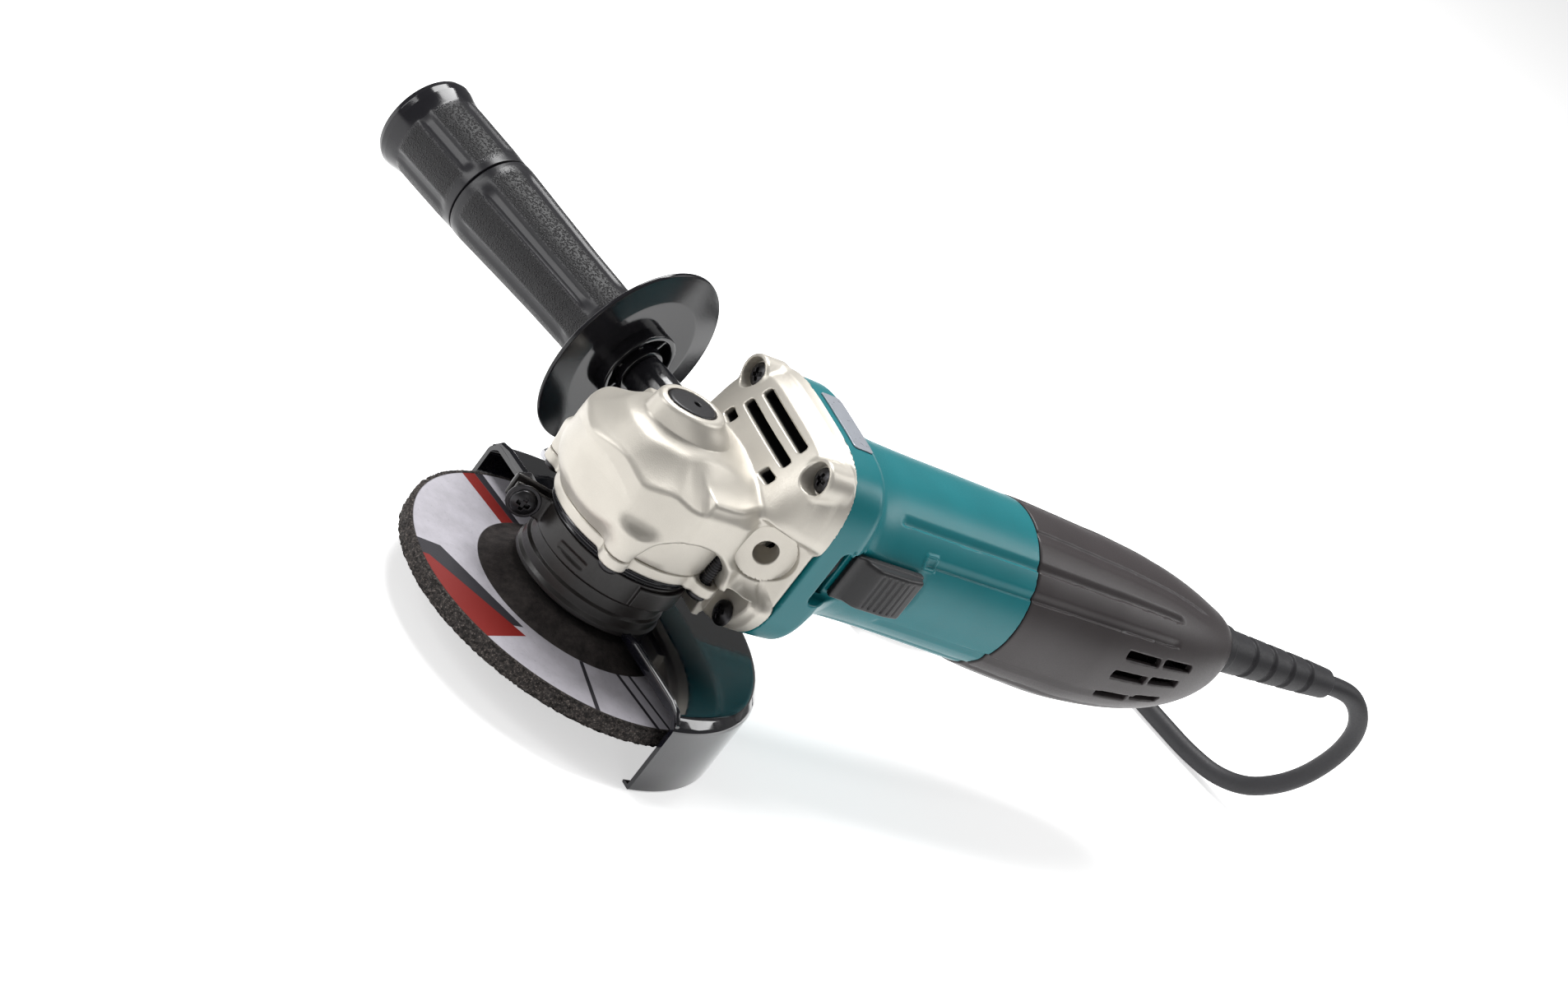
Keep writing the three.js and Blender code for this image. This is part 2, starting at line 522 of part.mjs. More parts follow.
// ---------------------------------------------------------------- motor housing
const motorSections = [
  { x: FLANGE_X + GAP, z: 0, w: SQUARE, h: SQUARE, n: 4 },
  { x: 49.5, z: 0, w: SQUARE - 0.4, h: SQUARE - 0.4, n: 4 },
  { x: 52.5, z: 0, w: 32.6, h: 32.6, n: 3.6 },
  { x: 56, z: 0, w: 29.6, h: 29.6, n: 2.8 },
  { x: 62, z: 0, w: BARREL_R + 0.3, h: BARREL_R + 0.3, n: 2.2 },
  { x: 80, z: -0.3, w: BARREL_R, h: BARREL_R, n: 2.05 },
  { x: 110, z: -1.2, w: BARREL_R, h: BARREL_R, n: 2 },
  { x: BARREL_END_X, z: -1.8, w: BARREL_R, h: BARREL_R, n: 2 },
];
const grooveAt = (degrees, x0, x1) => {
  const g = box(x0, x1, -0.8, 0.8, BARREL_R - 0.9, BARREL_R + 6);
  return g.rotateX(THREE.MathUtils.degToRad(degrees)).translate(0, 0, AXIS_Z - 1);
};
const GROOVES = [[46, 70], [65.5, 82], [117, 82], [137, 64]];
const grooves = GROOVES.flatMap(([a, x]) => [grooveAt(a, x, 140), grooveAt(-a, x, 140)]);
const rearCup = minus(shaft(15.6, 128.6, 141.5, 0, 0, 16), shaft(13.2, 132.4, 143, 0, 0, 16));
const post = minus(box(134, 141.5, -4, 4, AXIS_Z - 25, AXIS_Z - 14.6), rod(1.6, AXIS_Z - 30, AXIS_Z - 16, 137.8, 0, 8));
const webPlate = shaft(BARREL_BORE_R + 1, 128.6, 130.6, 0, -0.6, 16);
const airWays = [45, 135, 225, 315].map((degrees) => {
  const g = box(127, 132, -4, 4, 16.5, 22);
  return g.rotateX(THREE.MathUtils.degToRad(degrees)).translate(0, 0, AXIS_Z);
});
const motorShell = minus(
  lofted(motorSections, 20),
  shaft(28.4, 36, 54.4, 0, 0, 16),
  shaft(BARREL_BORE_R, 50, 140, 0, 0, 20),
  ...grooves,
  box(KNOB.from - KNOB.travel - 1.6, KNOB.to + 2.6, -40, -26.6, AXIS_Z - 9.6, AXIS_Z + 9.6),
  box(56, 74, -40, -20, AXIS_Z - 4, AXIS_Z + 4),
  box(55, 140, -26.2, -20, AXIS_Z - 3.2, AXIS_Z + 3.2),
  ...CORNERS.map(([y, z]) => shaft(2.6, 36, 49, y * SCREW_Y, z * SCREW_Z, 6)),
);
const webAndCup = minus(
  plus(webPlate, rearCup),
  shaft(6.4, 126, 134, 0, 0, 12),
  ...airWays,
  box(120, 145, -27, -20.6, AXIS_Z - 3.2, AXIS_Z + 3.2),
);
add('motor_housing', plus(motorShell, webAndCup, post), TEAL);

add('name_plate', lofted([
  { x: 41.5, z: SQUARE + 0.75, w: 13, h: 0.35, n: 12 },
  { x: 48, z: SQUARE + 0.75, w: 13, h: 0.35, n: 12 },
], 12), PLATE);

// ---------------------------------------------------------------- slide switch
const knobRidges = [-9, -6, -3, 0, 3, 6, 9].map((x) => (
  box(68.4 + x, 69.6 + x, -31.8, -31, AXIS_Z - 6.5, AXIS_Z + 6.5)
));
const knob = plus(
  box(KNOB.from, KNOB.to, -31.2, -27, AXIS_Z - 8, AXIS_Z + 8),
  box(64.8, 73.4, -27.5, -26.2, AXIS_Z - 3.4, AXIS_Z + 3.4),
  ...knobRidges,
);
add('switch_knob', knob, BLACK_PLASTIC);
add('switch_rod', plus(
  box(63, 126, -25.9, -24.9, AXIS_Z - 2.6, AXIS_Z + 2.6),
  box(124.5, 126, -25.9, -21.3, AXIS_Z - 2.6, AXIS_Z + 2.6),
  box(124.5, 152, -22.6, -21.3, AXIS_Z - 2.6, AXIS_Z + 2.6),
), NYLON);
add('switch_unit', box(153, 175, -20.4, -6, AXIS_Z - 10, AXIS_Z + 8), BLACK_PLASTIC);

// ---------------------------------------------------------------- rear cover
const coverSections = [
  { x: BARREL_END_X + GAP, z: -1.8, w: BARREL_R + 0.2, h: BARREL_R + 0.3, n: 2 },
  { x: 150, z: -3.1, w: 28.1, h: 28.5, n: 2 },
  { x: 172, z: -4.1, w: 27.7, h: 28.1, n: 2.1 },
  { x: 190, z: -4.2, w: 26.2, h: 26.7, n: 2.15 },
  { x: 206, z: -4.1, w: 23.8, h: 24.4, n: 2.2 },
  { x: 220, z: -3.5, w: 20.4, h: 21, n: 2.2 },
  { x: 230, z: -2.6, w: 17, h: 17.6, n: 2.2 },
  { x: 235.5, z: -1.4, w: 14.4, h: 14.8, n: 2.1 },
  { x: REAR_END_X, z: 0.6, w: 11.2, h: 11.2, n: 2 },
];
const hollow = coverSections
  .filter((s) => s.x < 221 && s.x !== 150)
  .map((s, i) => ({ ...s, x: i ? s.x : s.x - 2, w: s.w - 2.6, h: s.h - 2.6 }));
const SLOTS = [[10, 181], [10, 198.6], [-4, 180], [-4, 197.6], [-22, 182], [-22, 198.6]];
const coverSlots = SLOTS.flatMap(([degrees, x]) => [-1, 1].map((side) => {
  const slot = box(x, x + 15.4, Math.min(16 * side, 34 * side), Math.max(16 * side, 34 * side), -1.4, 1.4);
  return slot.rotateX(THREE.MathUtils.degToRad(side * degrees)).translate(0, 0, AXIS_Z - 3);
}));
const clampZ = AXIS_Z + CORD_Z;
const coverInside = plus(
  minus(lofted(coverSections, 18), lofted(hollow, 18)),
  box(204, 214, -9, 9, 46, clampZ - 4),
  rod(5.6, AXIS_Z - 30, AXIS_Z - 25.4, 137.8, 0, 10),
);
add('rear_cover', minus(
  coverInside,
  shaft(10.4, 218, 236.5, 0, CORD_Z, 16),
  shaft(8.4, 230, 242, 0, CORD_Z, 16),
  rod(1.9, AXIS_Z - 40, AXIS_Z - 20, 137.8, 0, 6),
  rod(3.8, AXIS_Z - 40, AXIS_Z - 28.8, 137.8, 0, 10),
  ...[-6.4, 6.4].map((y) => rod(1.7, 60, 72, 209, y, 6)),
  ...coverSlots,
), GREY_PLASTIC);

add('rear_cover_screw', plus(
  rod(3.4, AXIS_Z - 31, AXIS_Z - 29.1, 137.8, 0, 12),
  rod(1.2, AXIS_Z - 30, AXIS_Z - 16.6, 137.8, 0, 8),
), DARK_STEEL);

// ---------------------------------------------------------------- cord entry
const guardRings = [];
for (let x = 254; x < 292; x += 10) {
  const r = 7.8 - (2.2 * (x - 240)) / 59;
  guardRings.push([x, r], [x + 0.6, r - 0.7], [x + 2.4, r - 0.8], [x + 3, r - 0.15]);
}
add('cord_guard', turnedX([
  [226, 0], [226, 6], [233, 6.6], [233, 9.9], [236.2, 9.9], [236.2, 7.9], [240.5, 7.9],
  ...guardRings, [298, 5.2], [CORD_EXIT_X, 4.6], [CORD_EXIT_X, 0],
], 12).translate(0, 0, CORD_Z), RUBBER);

add('cord_clamp', minus(
  box(206, 212, -9, 9, clampZ + 3.8, clampZ + 7),
  ...[-6.4, 6.4].map((y) => rod(1.7, clampZ, clampZ + 9, 209, y, 6)),
), NYLON);

// ---------------------------------------------------------------- side grip
const gripProfile = [
  [4.5, 30], [8.2, 30], [8.2, 38.4], [11.8, 38.4], [11.8, 27.6], [13.8, 27.6], [13.8, 37.6],
  [GRIP_FLANGE_R, 38.2], [GRIP_FLANGE_R, 39.6], [20, 41], [14.4, 46.5], [14, 60], [15.2, 95],
  [15.9, 113.6], [15.3, 114.4], [15.3, 116.4], [16, 117.2], [16.2, 145], [17.6, 151],
  [17.4, GRIP_LENGTH], [14, GRIP_LENGTH], [12.5, 151.8], [0, 151.8], [0, 82], [4.5, 80],
];
const gripRibs = [0, 1, 2].map((i) => box(-12.4, 12.4, -0.8, 0.8, 31, 38.8).rotateZ((i * Math.PI) / 3));
const flutes = [];
for (let i = 0; i < 6; i += 1) {
  const long = rod(4, -32, 30, 0, 0, 6).rotateY(0.027).translate(17.9, 0, 80);
  const short = rod(4, 119.5, 145, 19, 0, 6);
  flutes.push(...[long, short].map((g) => g.rotateZ(((i + 0.5) * Math.PI) / 3)));
}
const gripBlank = minus(plus(turned(gripProfile, 18), ...gripRibs), rod(4.4, 20, 50, 0, 0, 18));
add('side_grip', onGripAxis(surface(minus(gripBlank, ...flutes))), BLACK_PLASTIC);
add('grip_stem', onGripAxis(turned([[4.2, 0.3], [7, 0.3], [7, 29.7], [4.2, 29.7]], 16)), BLACK_ENAMEL);
add('grip_stud', onGripAxis(rod(3.5, -10.4, 78, 0, 0, 12)), STEEL);

// ---------------------------------------------------------------- cord, coil and plug
const lead = [
  [CORD_EXIT_X + GAP, 0, 73], [306, 0, 73], [315, 0, 71.6], [324, 0.2, 66.6], [331, 1, 58.9],
  [334.8, 2.8, 49.2], [336, 5.6, 38.8], [335.4, 9.4, 28.4], [333.4, 14.8, 18.8], [330.4, 22, 10.8],
  [326.6, 32, 5.6], [322, 44, 3.7], [317, 58, 3.5], [312, 74, 3.5], [307.4, 90, 3.5], [302.4, 106, 3.5],
  [295.4, 122, 3.5], [285.4, 137.6, 3.5], [272, 151.6, 3.5], [254.6, 163, 3.8], [235, 170.6, 4.4],
  [215.2, 173.2, 4.9],
];
add('power_cord', tube(lead, CORD_D, 28, 4), RUBBER);

add('cord_coil', turned([
  [COIL.in, COIL.z0], [COIL.out, COIL.z0], [COIL.out, COIL.z1], [COIL.in, COIL.z1],
], 32).translate(COIL.x, COIL.y, 0), RUBBER);

const tieOuter = box(COIL.in - 2.2, COIL.out + 1.4, -5, 5, 0, COIL.z1 + 1.4);
const tieInner = box(COIL.in - 1.1, COIL.out + 0.3, -6, 6, COIL.z0 - 0.3, COIL.z1 + 0.3);
const tieTurn = THREE.MathUtils.degToRad(250);
add('coil_tie', minus(tieOuter.rotateZ(tieTurn), tieInner.rotateZ(tieTurn)).translate([COIL.x, COIL.y, 0]), NYLON);

const tail = [
  [124.9, 106.6, 4], [120.6, 99.2, 4.1], [115.1, 93.7, 4.8], [108.4, 89.7, 6.4], [101, 87.4, 8.2],
  [95.4, 86.9, 8.9], [92.6, 86.9, 9],
];
add('cord_tail', tube(tail, CORD_D, 7, 4), RUBBER);

const PLUG = { x: 92.2, y: 86.9, z: 9 };
const plugShape = new THREE.Shape();
plugShape.moveTo(0, -5);
plugShape.lineTo(9, -5.4);
plugShape.lineTo(17, -12);
plugShape.lineTo(24, -17.4);
plugShape.lineTo(37, -17.8);
plugShape.lineTo(37, 17.8);
plugShape.lineTo(24, 17.4);
plugShape.lineTo(17, 12);
plugShape.lineTo(9, 5.4);
plugShape.lineTo(0, 5);
plugShape.closePath();
const plugBody = new THREE.ExtrudeGeometry(plugShape, { depth: 17, bevelEnabled: false })
  .rotateZ(Math.PI).translate(PLUG.x, PLUG.y, 0.3);
add('plug_body', minus(plugBody, ...[-9.5, 9.5].map((y) => (
  shaft(2.7, PLUG.x - 40, PLUG.x - 30, PLUG.y + y, PLUG.z - AXIS_Z, 14)
))), BLACK_PLASTIC);
[-9.5, 9.5].forEach((y, i) => {
  const pin = shaft(2.4, PLUG.x - 56, PLUG.x - 30.4, PLUG.y + y, PLUG.z - AXIS_Z, 14);
  add(`plug_pin_${i + 1}`, pin, STEEL);
});

export default grinder;
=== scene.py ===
"""Looks of a slim corded 115 mm angle grinder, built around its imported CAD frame.

Shapes are worked out in millimetres in the row frame (+X to the cord, +Y to the side grip, +Z up) and
turned into metres when a mesh is made. Cast and moulded shells are signed distance fields meshed here.
"""
import json
import math

import bpy
import numpy as np
from mathutils import Matrix, Vector


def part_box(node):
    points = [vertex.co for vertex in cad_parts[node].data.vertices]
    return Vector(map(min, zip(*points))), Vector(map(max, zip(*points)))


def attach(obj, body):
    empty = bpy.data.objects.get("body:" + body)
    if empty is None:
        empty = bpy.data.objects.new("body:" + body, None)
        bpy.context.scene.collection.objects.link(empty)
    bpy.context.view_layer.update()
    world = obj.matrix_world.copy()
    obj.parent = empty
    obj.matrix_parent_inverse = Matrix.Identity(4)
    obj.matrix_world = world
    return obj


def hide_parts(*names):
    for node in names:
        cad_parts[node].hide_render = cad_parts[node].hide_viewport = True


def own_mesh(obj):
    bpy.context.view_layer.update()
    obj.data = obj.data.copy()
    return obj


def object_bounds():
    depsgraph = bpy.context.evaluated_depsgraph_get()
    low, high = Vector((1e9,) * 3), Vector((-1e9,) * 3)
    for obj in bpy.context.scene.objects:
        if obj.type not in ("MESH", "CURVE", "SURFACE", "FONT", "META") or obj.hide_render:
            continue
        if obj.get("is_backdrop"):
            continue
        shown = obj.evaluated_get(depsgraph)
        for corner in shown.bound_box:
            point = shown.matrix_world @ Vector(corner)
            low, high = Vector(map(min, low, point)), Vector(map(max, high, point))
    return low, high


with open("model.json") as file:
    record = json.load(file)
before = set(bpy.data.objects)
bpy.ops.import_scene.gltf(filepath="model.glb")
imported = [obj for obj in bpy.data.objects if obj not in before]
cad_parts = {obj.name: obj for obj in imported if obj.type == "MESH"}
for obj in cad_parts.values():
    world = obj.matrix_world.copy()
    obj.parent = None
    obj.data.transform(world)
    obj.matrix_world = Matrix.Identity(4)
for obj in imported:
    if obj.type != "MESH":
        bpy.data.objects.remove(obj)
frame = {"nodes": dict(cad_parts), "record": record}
cad_low, cad_high = (list(v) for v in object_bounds())
nodes, record = frame["nodes"], frame["record"]
BODY_OF = {node: body for body, members in record["behaviour"]["bodies"].items() for node in members}
MM = 0.001
WHEEL_R, WHEEL_Z0, WHEEL_Z1 = 57.5, 12.5, 18.5


def put(name, data):
    """A new object with that data, in the scene."""
    piece = bpy.data.objects.new(name, data)
    bpy.context.scene.collection.objects.link(piece)
    return piece


def mm_box(node):
    """A CAD node's lowest and highest corners in millimetres."""
    low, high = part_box(node)
    return np.array(low) / MM, np.array(high) / MM


AXIS_Z = float(np.mean([c[2] for c in mm_box("armature_shaft")]))  # height of the motor axis
FLANGE_X = float(mm_box("gear_housing")[1][0])
REAR_X1 = float(mm_box("rear_cover")[1][0])
SCREWS = [(y, z) for z in (-26.7, 26.7) for y in (-25.5, 25.5)]
LUGS = [(x, y) for x in (-17, 17) for y in (-23.4, 23.4)]
GRIP_AT = np.array([27.0, 26.4, 69.4])
GRIP_TILT = math.radians(19.2)
BUTTON_X = float(np.mean([c[0] for c in mm_box("lock_button")]))
FLOOR_Z = 52.6  # underside of the gear housing
CUP_TOP = 94.2  # top of the cup round the button
SCREW_SEAT_X = 29.4  # seats of the four corner screws
LUG_SEAT_Z = 48.3  # seats of the bearing box's screws
FOOT_SCREW_X = 137.8  # the screw under the tail
BAND_Z0, BAND_Z1 = (float(c[2]) for c in mm_box("guard_band"))

# ---- camera
camera_data = bpy.data.cameras.new("camera")
camera_data.sensor_width = 36.0
camera_data.lens = 86.71
camera_data.clip_end = 50
camera = put("camera", camera_data)
right, up, back = (0.73433, -0.37274, 0.56729), (-0.24787, 0.63078, 0.73530), (-0.63192, -0.68057, 0.37082)
CAMERA_AT = (-0.6799, -0.7781, 0.4999)
camera.matrix_world = Matrix.Translation(CAMERA_AT) @ Matrix((right, up, back)).transposed().to_4x4()
bpy.context.scene.camera = camera


# ---- cord
def smooth_path(points, step):
    """Points a step apart along a centripetal Catmull-Rom curve through the given points."""
    p = np.asarray(points, float)
    p = np.vstack([2 * p[0] - p[1], p, 2 * p[-1] - p[-2]])
    t = np.concatenate([[0], np.cumsum(np.linalg.norm(np.diff(p, axis=0), axis=1) ** 0.5)])
    out = []
    for i in range(1, len(p) - 2):
        for u in np.linspace(t[i], t[i + 1], 24, endpoint=False):
            a1 = ((t[i] - u) * p[i - 1] + (u - t[i - 1]) * p[i]) / (t[i] - t[i - 1])
            a2 = ((t[i + 1] - u) * p[i] + (u - t[i]) * p[i + 1]) / (t[i + 1] - t[i])
            a3 = ((t[i + 2] - u) * p[i + 1] + (u - t[i + 1]) * p[i + 2]) / (t[i + 2] - t[i + 1])
            b1 = ((t[i + 1] - u) * a1 + (u - t[i - 1]) * a2) / (t[i + 1] - t[i - 1])
            b2 = ((t[i + 2] - u) * a2 + (u - t[i]) * a3) / (t[i + 2] - t[i])
            out.append(((t[i + 1] - u) * b1 + (u - t[i]) * b2) / (t[i + 1] - t[i]))
    out = np.array(out + [p[-2]])
    run = np.concatenate([[0], np.cumsum(np.linalg.norm(np.diff(out, axis=0), axis=1))])
    at = np.linspace(0, run[-1], int(round(run[-1] / step)) + 1)
    return np.column_stack([np.interp(at, run, out[:, k]) for k in range(3)])


def path_length(points):
    return float(np.linalg.norm(np.diff(points, axis=0), axis=1).sum())


CORD_D, CORD_LENGTH = 7.0, 2500.0
LEAD = [(299.3, 0, 73), (306, 0, 73), (315, 0, 71.6), (324, 0.2, 66.6), (331, 1, 58.9), (334.8, 2.8, 49.2),
        (336, 5.6, 38.8), (335.4, 9.4, 28.4), (333.4, 14.8, 18.8), (330.4, 22, 10.8), (326.6, 32, 5.6),
        (322, 44, 3.7), (317, 58, 3.5), (312, 74, 3.5), (307.4, 90, 3.5), (302.4, 106, 3.5),
        (295.4, 122, 3.5), (285.4, 137.6, 3.5), (272, 151.6, 3.5), (254.6, 163, 3.8), (235, 170.6, 4.4),
        (215.2, 173.2, 4.9)]
TAIL = [(124.9, 106.6, 4), (120.6, 99.2, 4.1), (115.1, 93.7, 4.8), (108.4, 89.7, 6.4), (101, 87.4, 8.2),
        (95.4, 86.9, 8.9), (92.4, 86.9, 9)]
COIL_X, COIL_FAR_Y = 187.0, 173.2  # the coil's middle, and the far side of its outer turn


def cord_route(outer):
    """The whole centreline, with outer the radius of the coil's first turn."""
    pitch, low, climb, layer_turns = 6.95, 4.9, 0.18, 4
    inner = outer - layer_turns * pitch
    points = []

    def at(turn, radius, z):
        angle = math.radians(90 + 360 * turn)
        points.append((COIL_X + radius * math.cos(angle), COIL_FAR_Y - outer + radius * math.sin(angle), z))

    for t in np.linspace(0, layer_turns, 96, endpoint=False):
        up = np.clip((t - layer_turns + climb) / climb, 0, 1)
        at(t, outer - pitch * t, low + pitch * up * up * (3 - 2 * up))
    for t in np.linspace(0, layer_turns, 96, endpoint=False):
        at(layer_turns + t, inner + pitch * t, low + pitch)
    for t in np.linspace(0, 1, 10):
        over = math.radians(88) * t * t * (3 - 2 * t)
        at(2 * layer_turns + 0.25 * t, outer - pitch * 0.25 * t + pitch * math.sin(over),
           low + pitch * math.cos(over))
    return smooth_path(LEAD + points + TAIL, 2.5)


outer_low, outer_high = 46.0, 60.0
for _ in range(30):
    outer_mid = (outer_low + outer_high) / 2
    if path_length(cord_route(outer_mid)) < CORD_LENGTH:
        outer_low = outer_mid
    else:
        outer_high = outer_mid
route_outer = (outer_low + outer_high) / 2
route = cord_route(route_outer)


# ---- distance fields
def curve_table(pairs, samples=600):
    """A smooth monotone curve through (position, value) pairs, as a function of a position array."""
    x, y = (np.array(v, float) for v in zip(*pairs))
    h, d = np.diff(x), np.diff(y) / np.diff(x)
    m = np.zeros_like(y)
    m[0], m[-1] = d[0], d[-1]
    for i in range(1, len(x) - 1):
        if d[i - 1] * d[i] > 0:
            w1, w2 = 2 * h[i] + h[i - 1], h[i] + 2 * h[i - 1]
            m[i] = (w1 + w2) / (w1 / d[i - 1] + w2 / d[i])
    at = np.linspace(x[0], x[-1], samples)
    k = np.clip(np.searchsorted(x, at, side="right") - 1, 0, len(h) - 1)
    t = (at - x[k]) / h[k]
    value = ((2 * t ** 3 - 3 * t ** 2 + 1) * y[k] + (t ** 3 - 2 * t ** 2 + t) * h[k] * m[k]
             + (3 * t ** 2 - 2 * t ** 3) * y[k + 1] + (t ** 3 - t ** 2) * h[k] * m[k + 1])
    return lambda q: np.interp(q, at, value).astype(q.dtype)


def step(value, low, high):
    t = np.clip((value - low) / (high - low), 0, 1)
    return t * t * (3 - 2 * t)


def hypot(a, b):
    return np.sqrt(a * a + b * b)


def axes_at(a, b, angle):
    """a and b along axes turned by angle."""
    c, s = math.cos(angle), math.sin(angle)
    return a * c + b * s, -a * s + b * c


def join(a, b, k=0.0):
    """Union, with a fillet of about k."""
    if k <= 0:
        return np.minimum(a, b)
    h = np.maximum(k - np.abs(a - b), 0) / k
    return np.minimum(a, b) - h * h * k * 0.25


def meet(a, b, k=0.0):
    """Intersection, with a rounded edge of about k."""
    return -join(-a, -b, k)


def cut(a, b, k=0.0):
    """a with b taken away."""
    return -join(-a, b, k)


def box_field(x, y, z, x0, x1, y0, y1, z0, z1, r=0.0):
    qx = np.abs(x - (x0 + x1) / 2) - ((x1 - x0) / 2 - r)
    qy = np.abs(y - (y0 + y1) / 2) - ((y1 - y0) / 2 - r)
    qz = np.abs(z - (z0 + z1) / 2) - ((z1 - z0) / 2 - r)
    outside = np.sqrt(np.maximum(qx, 0) ** 2 + np.maximum(qy, 0) ** 2 + np.maximum(qz, 0) ** 2)
    return outside + np.minimum(np.maximum(np.maximum(qx, qy), qz), 0) - r


def rod_field(a, b, c, radius, c0, c1, r=0.0):
    """A cylinder with its axis along c, through the origin of a and b, with edges rounded by r."""
    q = hypot(a, b) - (radius - r)
    e = np.abs(c - (c0 + c1) / 2) - ((c1 - c0) / 2 - r)
    return np.sqrt(np.maximum(q, 0) ** 2 + np.maximum(e, 0) ** 2) + np.minimum(np.maximum(q, e), 0) - r


def loft_field(x, y, z, table):
    """A skin along X through superelliptical sections.

    table holds (x, centre z, half width, half height, power).
    """
    at = [row[0] for row in table]
    centre, wide, high, power = (curve_table(list(zip(at, [row[i] for row in table])))
                                 for i in (1, 2, 3, 4))
    w, h, n = wide(x), high(x), power(x)
    z = z - AXIS_Z - centre(x)
    slope = high(x + 0.5) - high(x - 0.5)
    ratio = ((np.abs(y) / w) ** n + (np.abs(z) / h) ** n + 1e-9) ** (1 / n)
    reach = hypot(y, z) / np.sqrt(1 + slope * slope)
    return reach * (1 - 1 / np.maximum(ratio, 0.05)) * (ratio > 0.3) - 8 * (ratio <= 0.3)


def grip_local(x, y, z, side):
    """Coordinates about a grip boss: across, up, and out along the grip's axis. Side is 1 right, -1 left."""
    a, out = axes_at(x - GRIP_AT[0], side * y - GRIP_AT[1], GRIP_TILT)
    return a, z - GRIP_AT[2], out


def new_mesh(name, verts, faces, material, *stands_for, normals=None):
    """A smooth-shaded piece, given in millimetres, on the body of the CAD node it stands for, which it hides.
    """
    mesh = bpy.data.meshes.new(name)
    mesh.from_pydata((np.asarray(verts, float) * MM).tolist(), [], [list(map(int, f)) for f in faces])
    mesh.validate()
    mesh.polygons.foreach_set("use_smooth", [True] * len(mesh.polygons))
    if normals is not None:
        mesh.normals_split_custom_set_from_vertices(normals.tolist())
    piece = put(name, mesh)
    mesh.materials.append(material)
    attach(piece, BODY_OF[stands_for[0]])
    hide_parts(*stands_for)
    return piece


def net(field, low, high, h):
    """Surface nets: vertices, quads and normals of field's zero level, from a grid h apart."""
    axes = [np.arange(low[i], high[i] + h, h, dtype=np.float32) for i in range(3)]
    x, y, z = np.meshgrid(*axes, indexing="ij")
    d = field(x, y, z).astype(np.float32)
    inside = d < 0
    shape = tuple(n - 1 for n in d.shape)
    total, count = np.zeros(shape + (3,), np.float32), np.zeros(shape, np.float32)
    corners = [(i, j, k) for i in (0, 1) for j in (0, 1) for k in (0, 1)]

    def at(array, c):
        return array[c[0]:c[0] + shape[0], c[1]:c[1] + shape[1], c[2]:c[2] + shape[2]]

    for axis in range(3):
        for c in corners:
            if c[axis]:
                continue
            e = tuple(v + (i == axis) for i, v in enumerate(c))
            d0, d1 = at(d, c), at(d, e)
            cross = at(inside, c) != at(inside, e)
            t = np.where(cross, d0 / np.where(cross, d0 - d1, 1), 0)
            for i in range(3):
                total[..., i] += cross * (c[i] + (t if i == axis else 0))
            count += cross
    used = count > 0
    index = np.full(shape, -1, np.int64)
    index[used] = np.arange(used.sum())
    cell = np.argwhere(used)
    verts = (cell + total[used] / count[used][:, None]) * h + np.array([a[0] for a in axes])
    faces = []
    for axis in range(3):
        u, v = [(1, 2), (2, 0), (0, 1)][axis]
        first = [slice(1, -1)] * 3
        first[axis] = slice(0, -1)
        second = list(first)
        second[axis] = slice(1, None)
        a, b = inside[tuple(first)], inside[tuple(second)]
        offset = np.array([0 if i == axis else 1 for i in range(3)])
        for flip in (False, True):
            here = np.argwhere((a & ~b) if not flip else (~a & b)) + offset
            quad = []
            for du, dv in ((-1, -1), (0, -1), (0, 0), (-1, 0)):
                q = here.copy()
                q[:, u] += du
                q[:, v] += dv
                quad.append(index[q[:, 0], q[:, 1], q[:, 2]])
            quad = np.stack(quad[::-1] if flip else quad, 1)
            faces.append(quad)
    faces = np.concatenate(faces)
    faces = faces[(faces >= 0).all(1)]

    def slope(p, e):
        g = [field(*(p + e * np.eye(3)[i]).T) - field(*(p - e * np.eye(3)[i]).T) for i in range(3)]
        return np.stack(g, 1) / (2 * e)

    for _ in range(3):
        g = slope(verts, 0.05)
        move = -field(*verts.T)[:, None] * g / np.maximum((g * g).sum(1), 0.2)[:, None]
        size = np.linalg.norm(move, axis=1)[:, None]
        verts = verts + move * np.minimum(1, 0.6 * h / np.maximum(size, 1e-9))
    g = slope(verts, 0.12)
    return verts, faces, g / np.maximum(np.linalg.norm(g, axis=1), 1e-9)[:, None]


def shell(name, field, low, high, h, material, *stands_for):
    """A piece meshed from a distance field between two corners, on a grid h apart."""
    verts, faces, normals = net(field, low, high, h)
    return new_mesh(name, verts, faces, material, *stands_for, normals=normals)


def places(piece):
    """The x, y and z of a piece's vertices in millimetres."""
    flat_list = np.empty(len(piece.data.vertices) * 3, np.float32)
    piece.data.vertices.foreach_get("co", flat_list)
    return flat_list.reshape(-1, 3).T / MM


def paint(piece, name, value):
    """Stores a number per vertex, which a material reads by name."""
    piece.data.attributes.new(name, "FLOAT", "POINT").data.foreach_set("value", value.astype(np.float32))


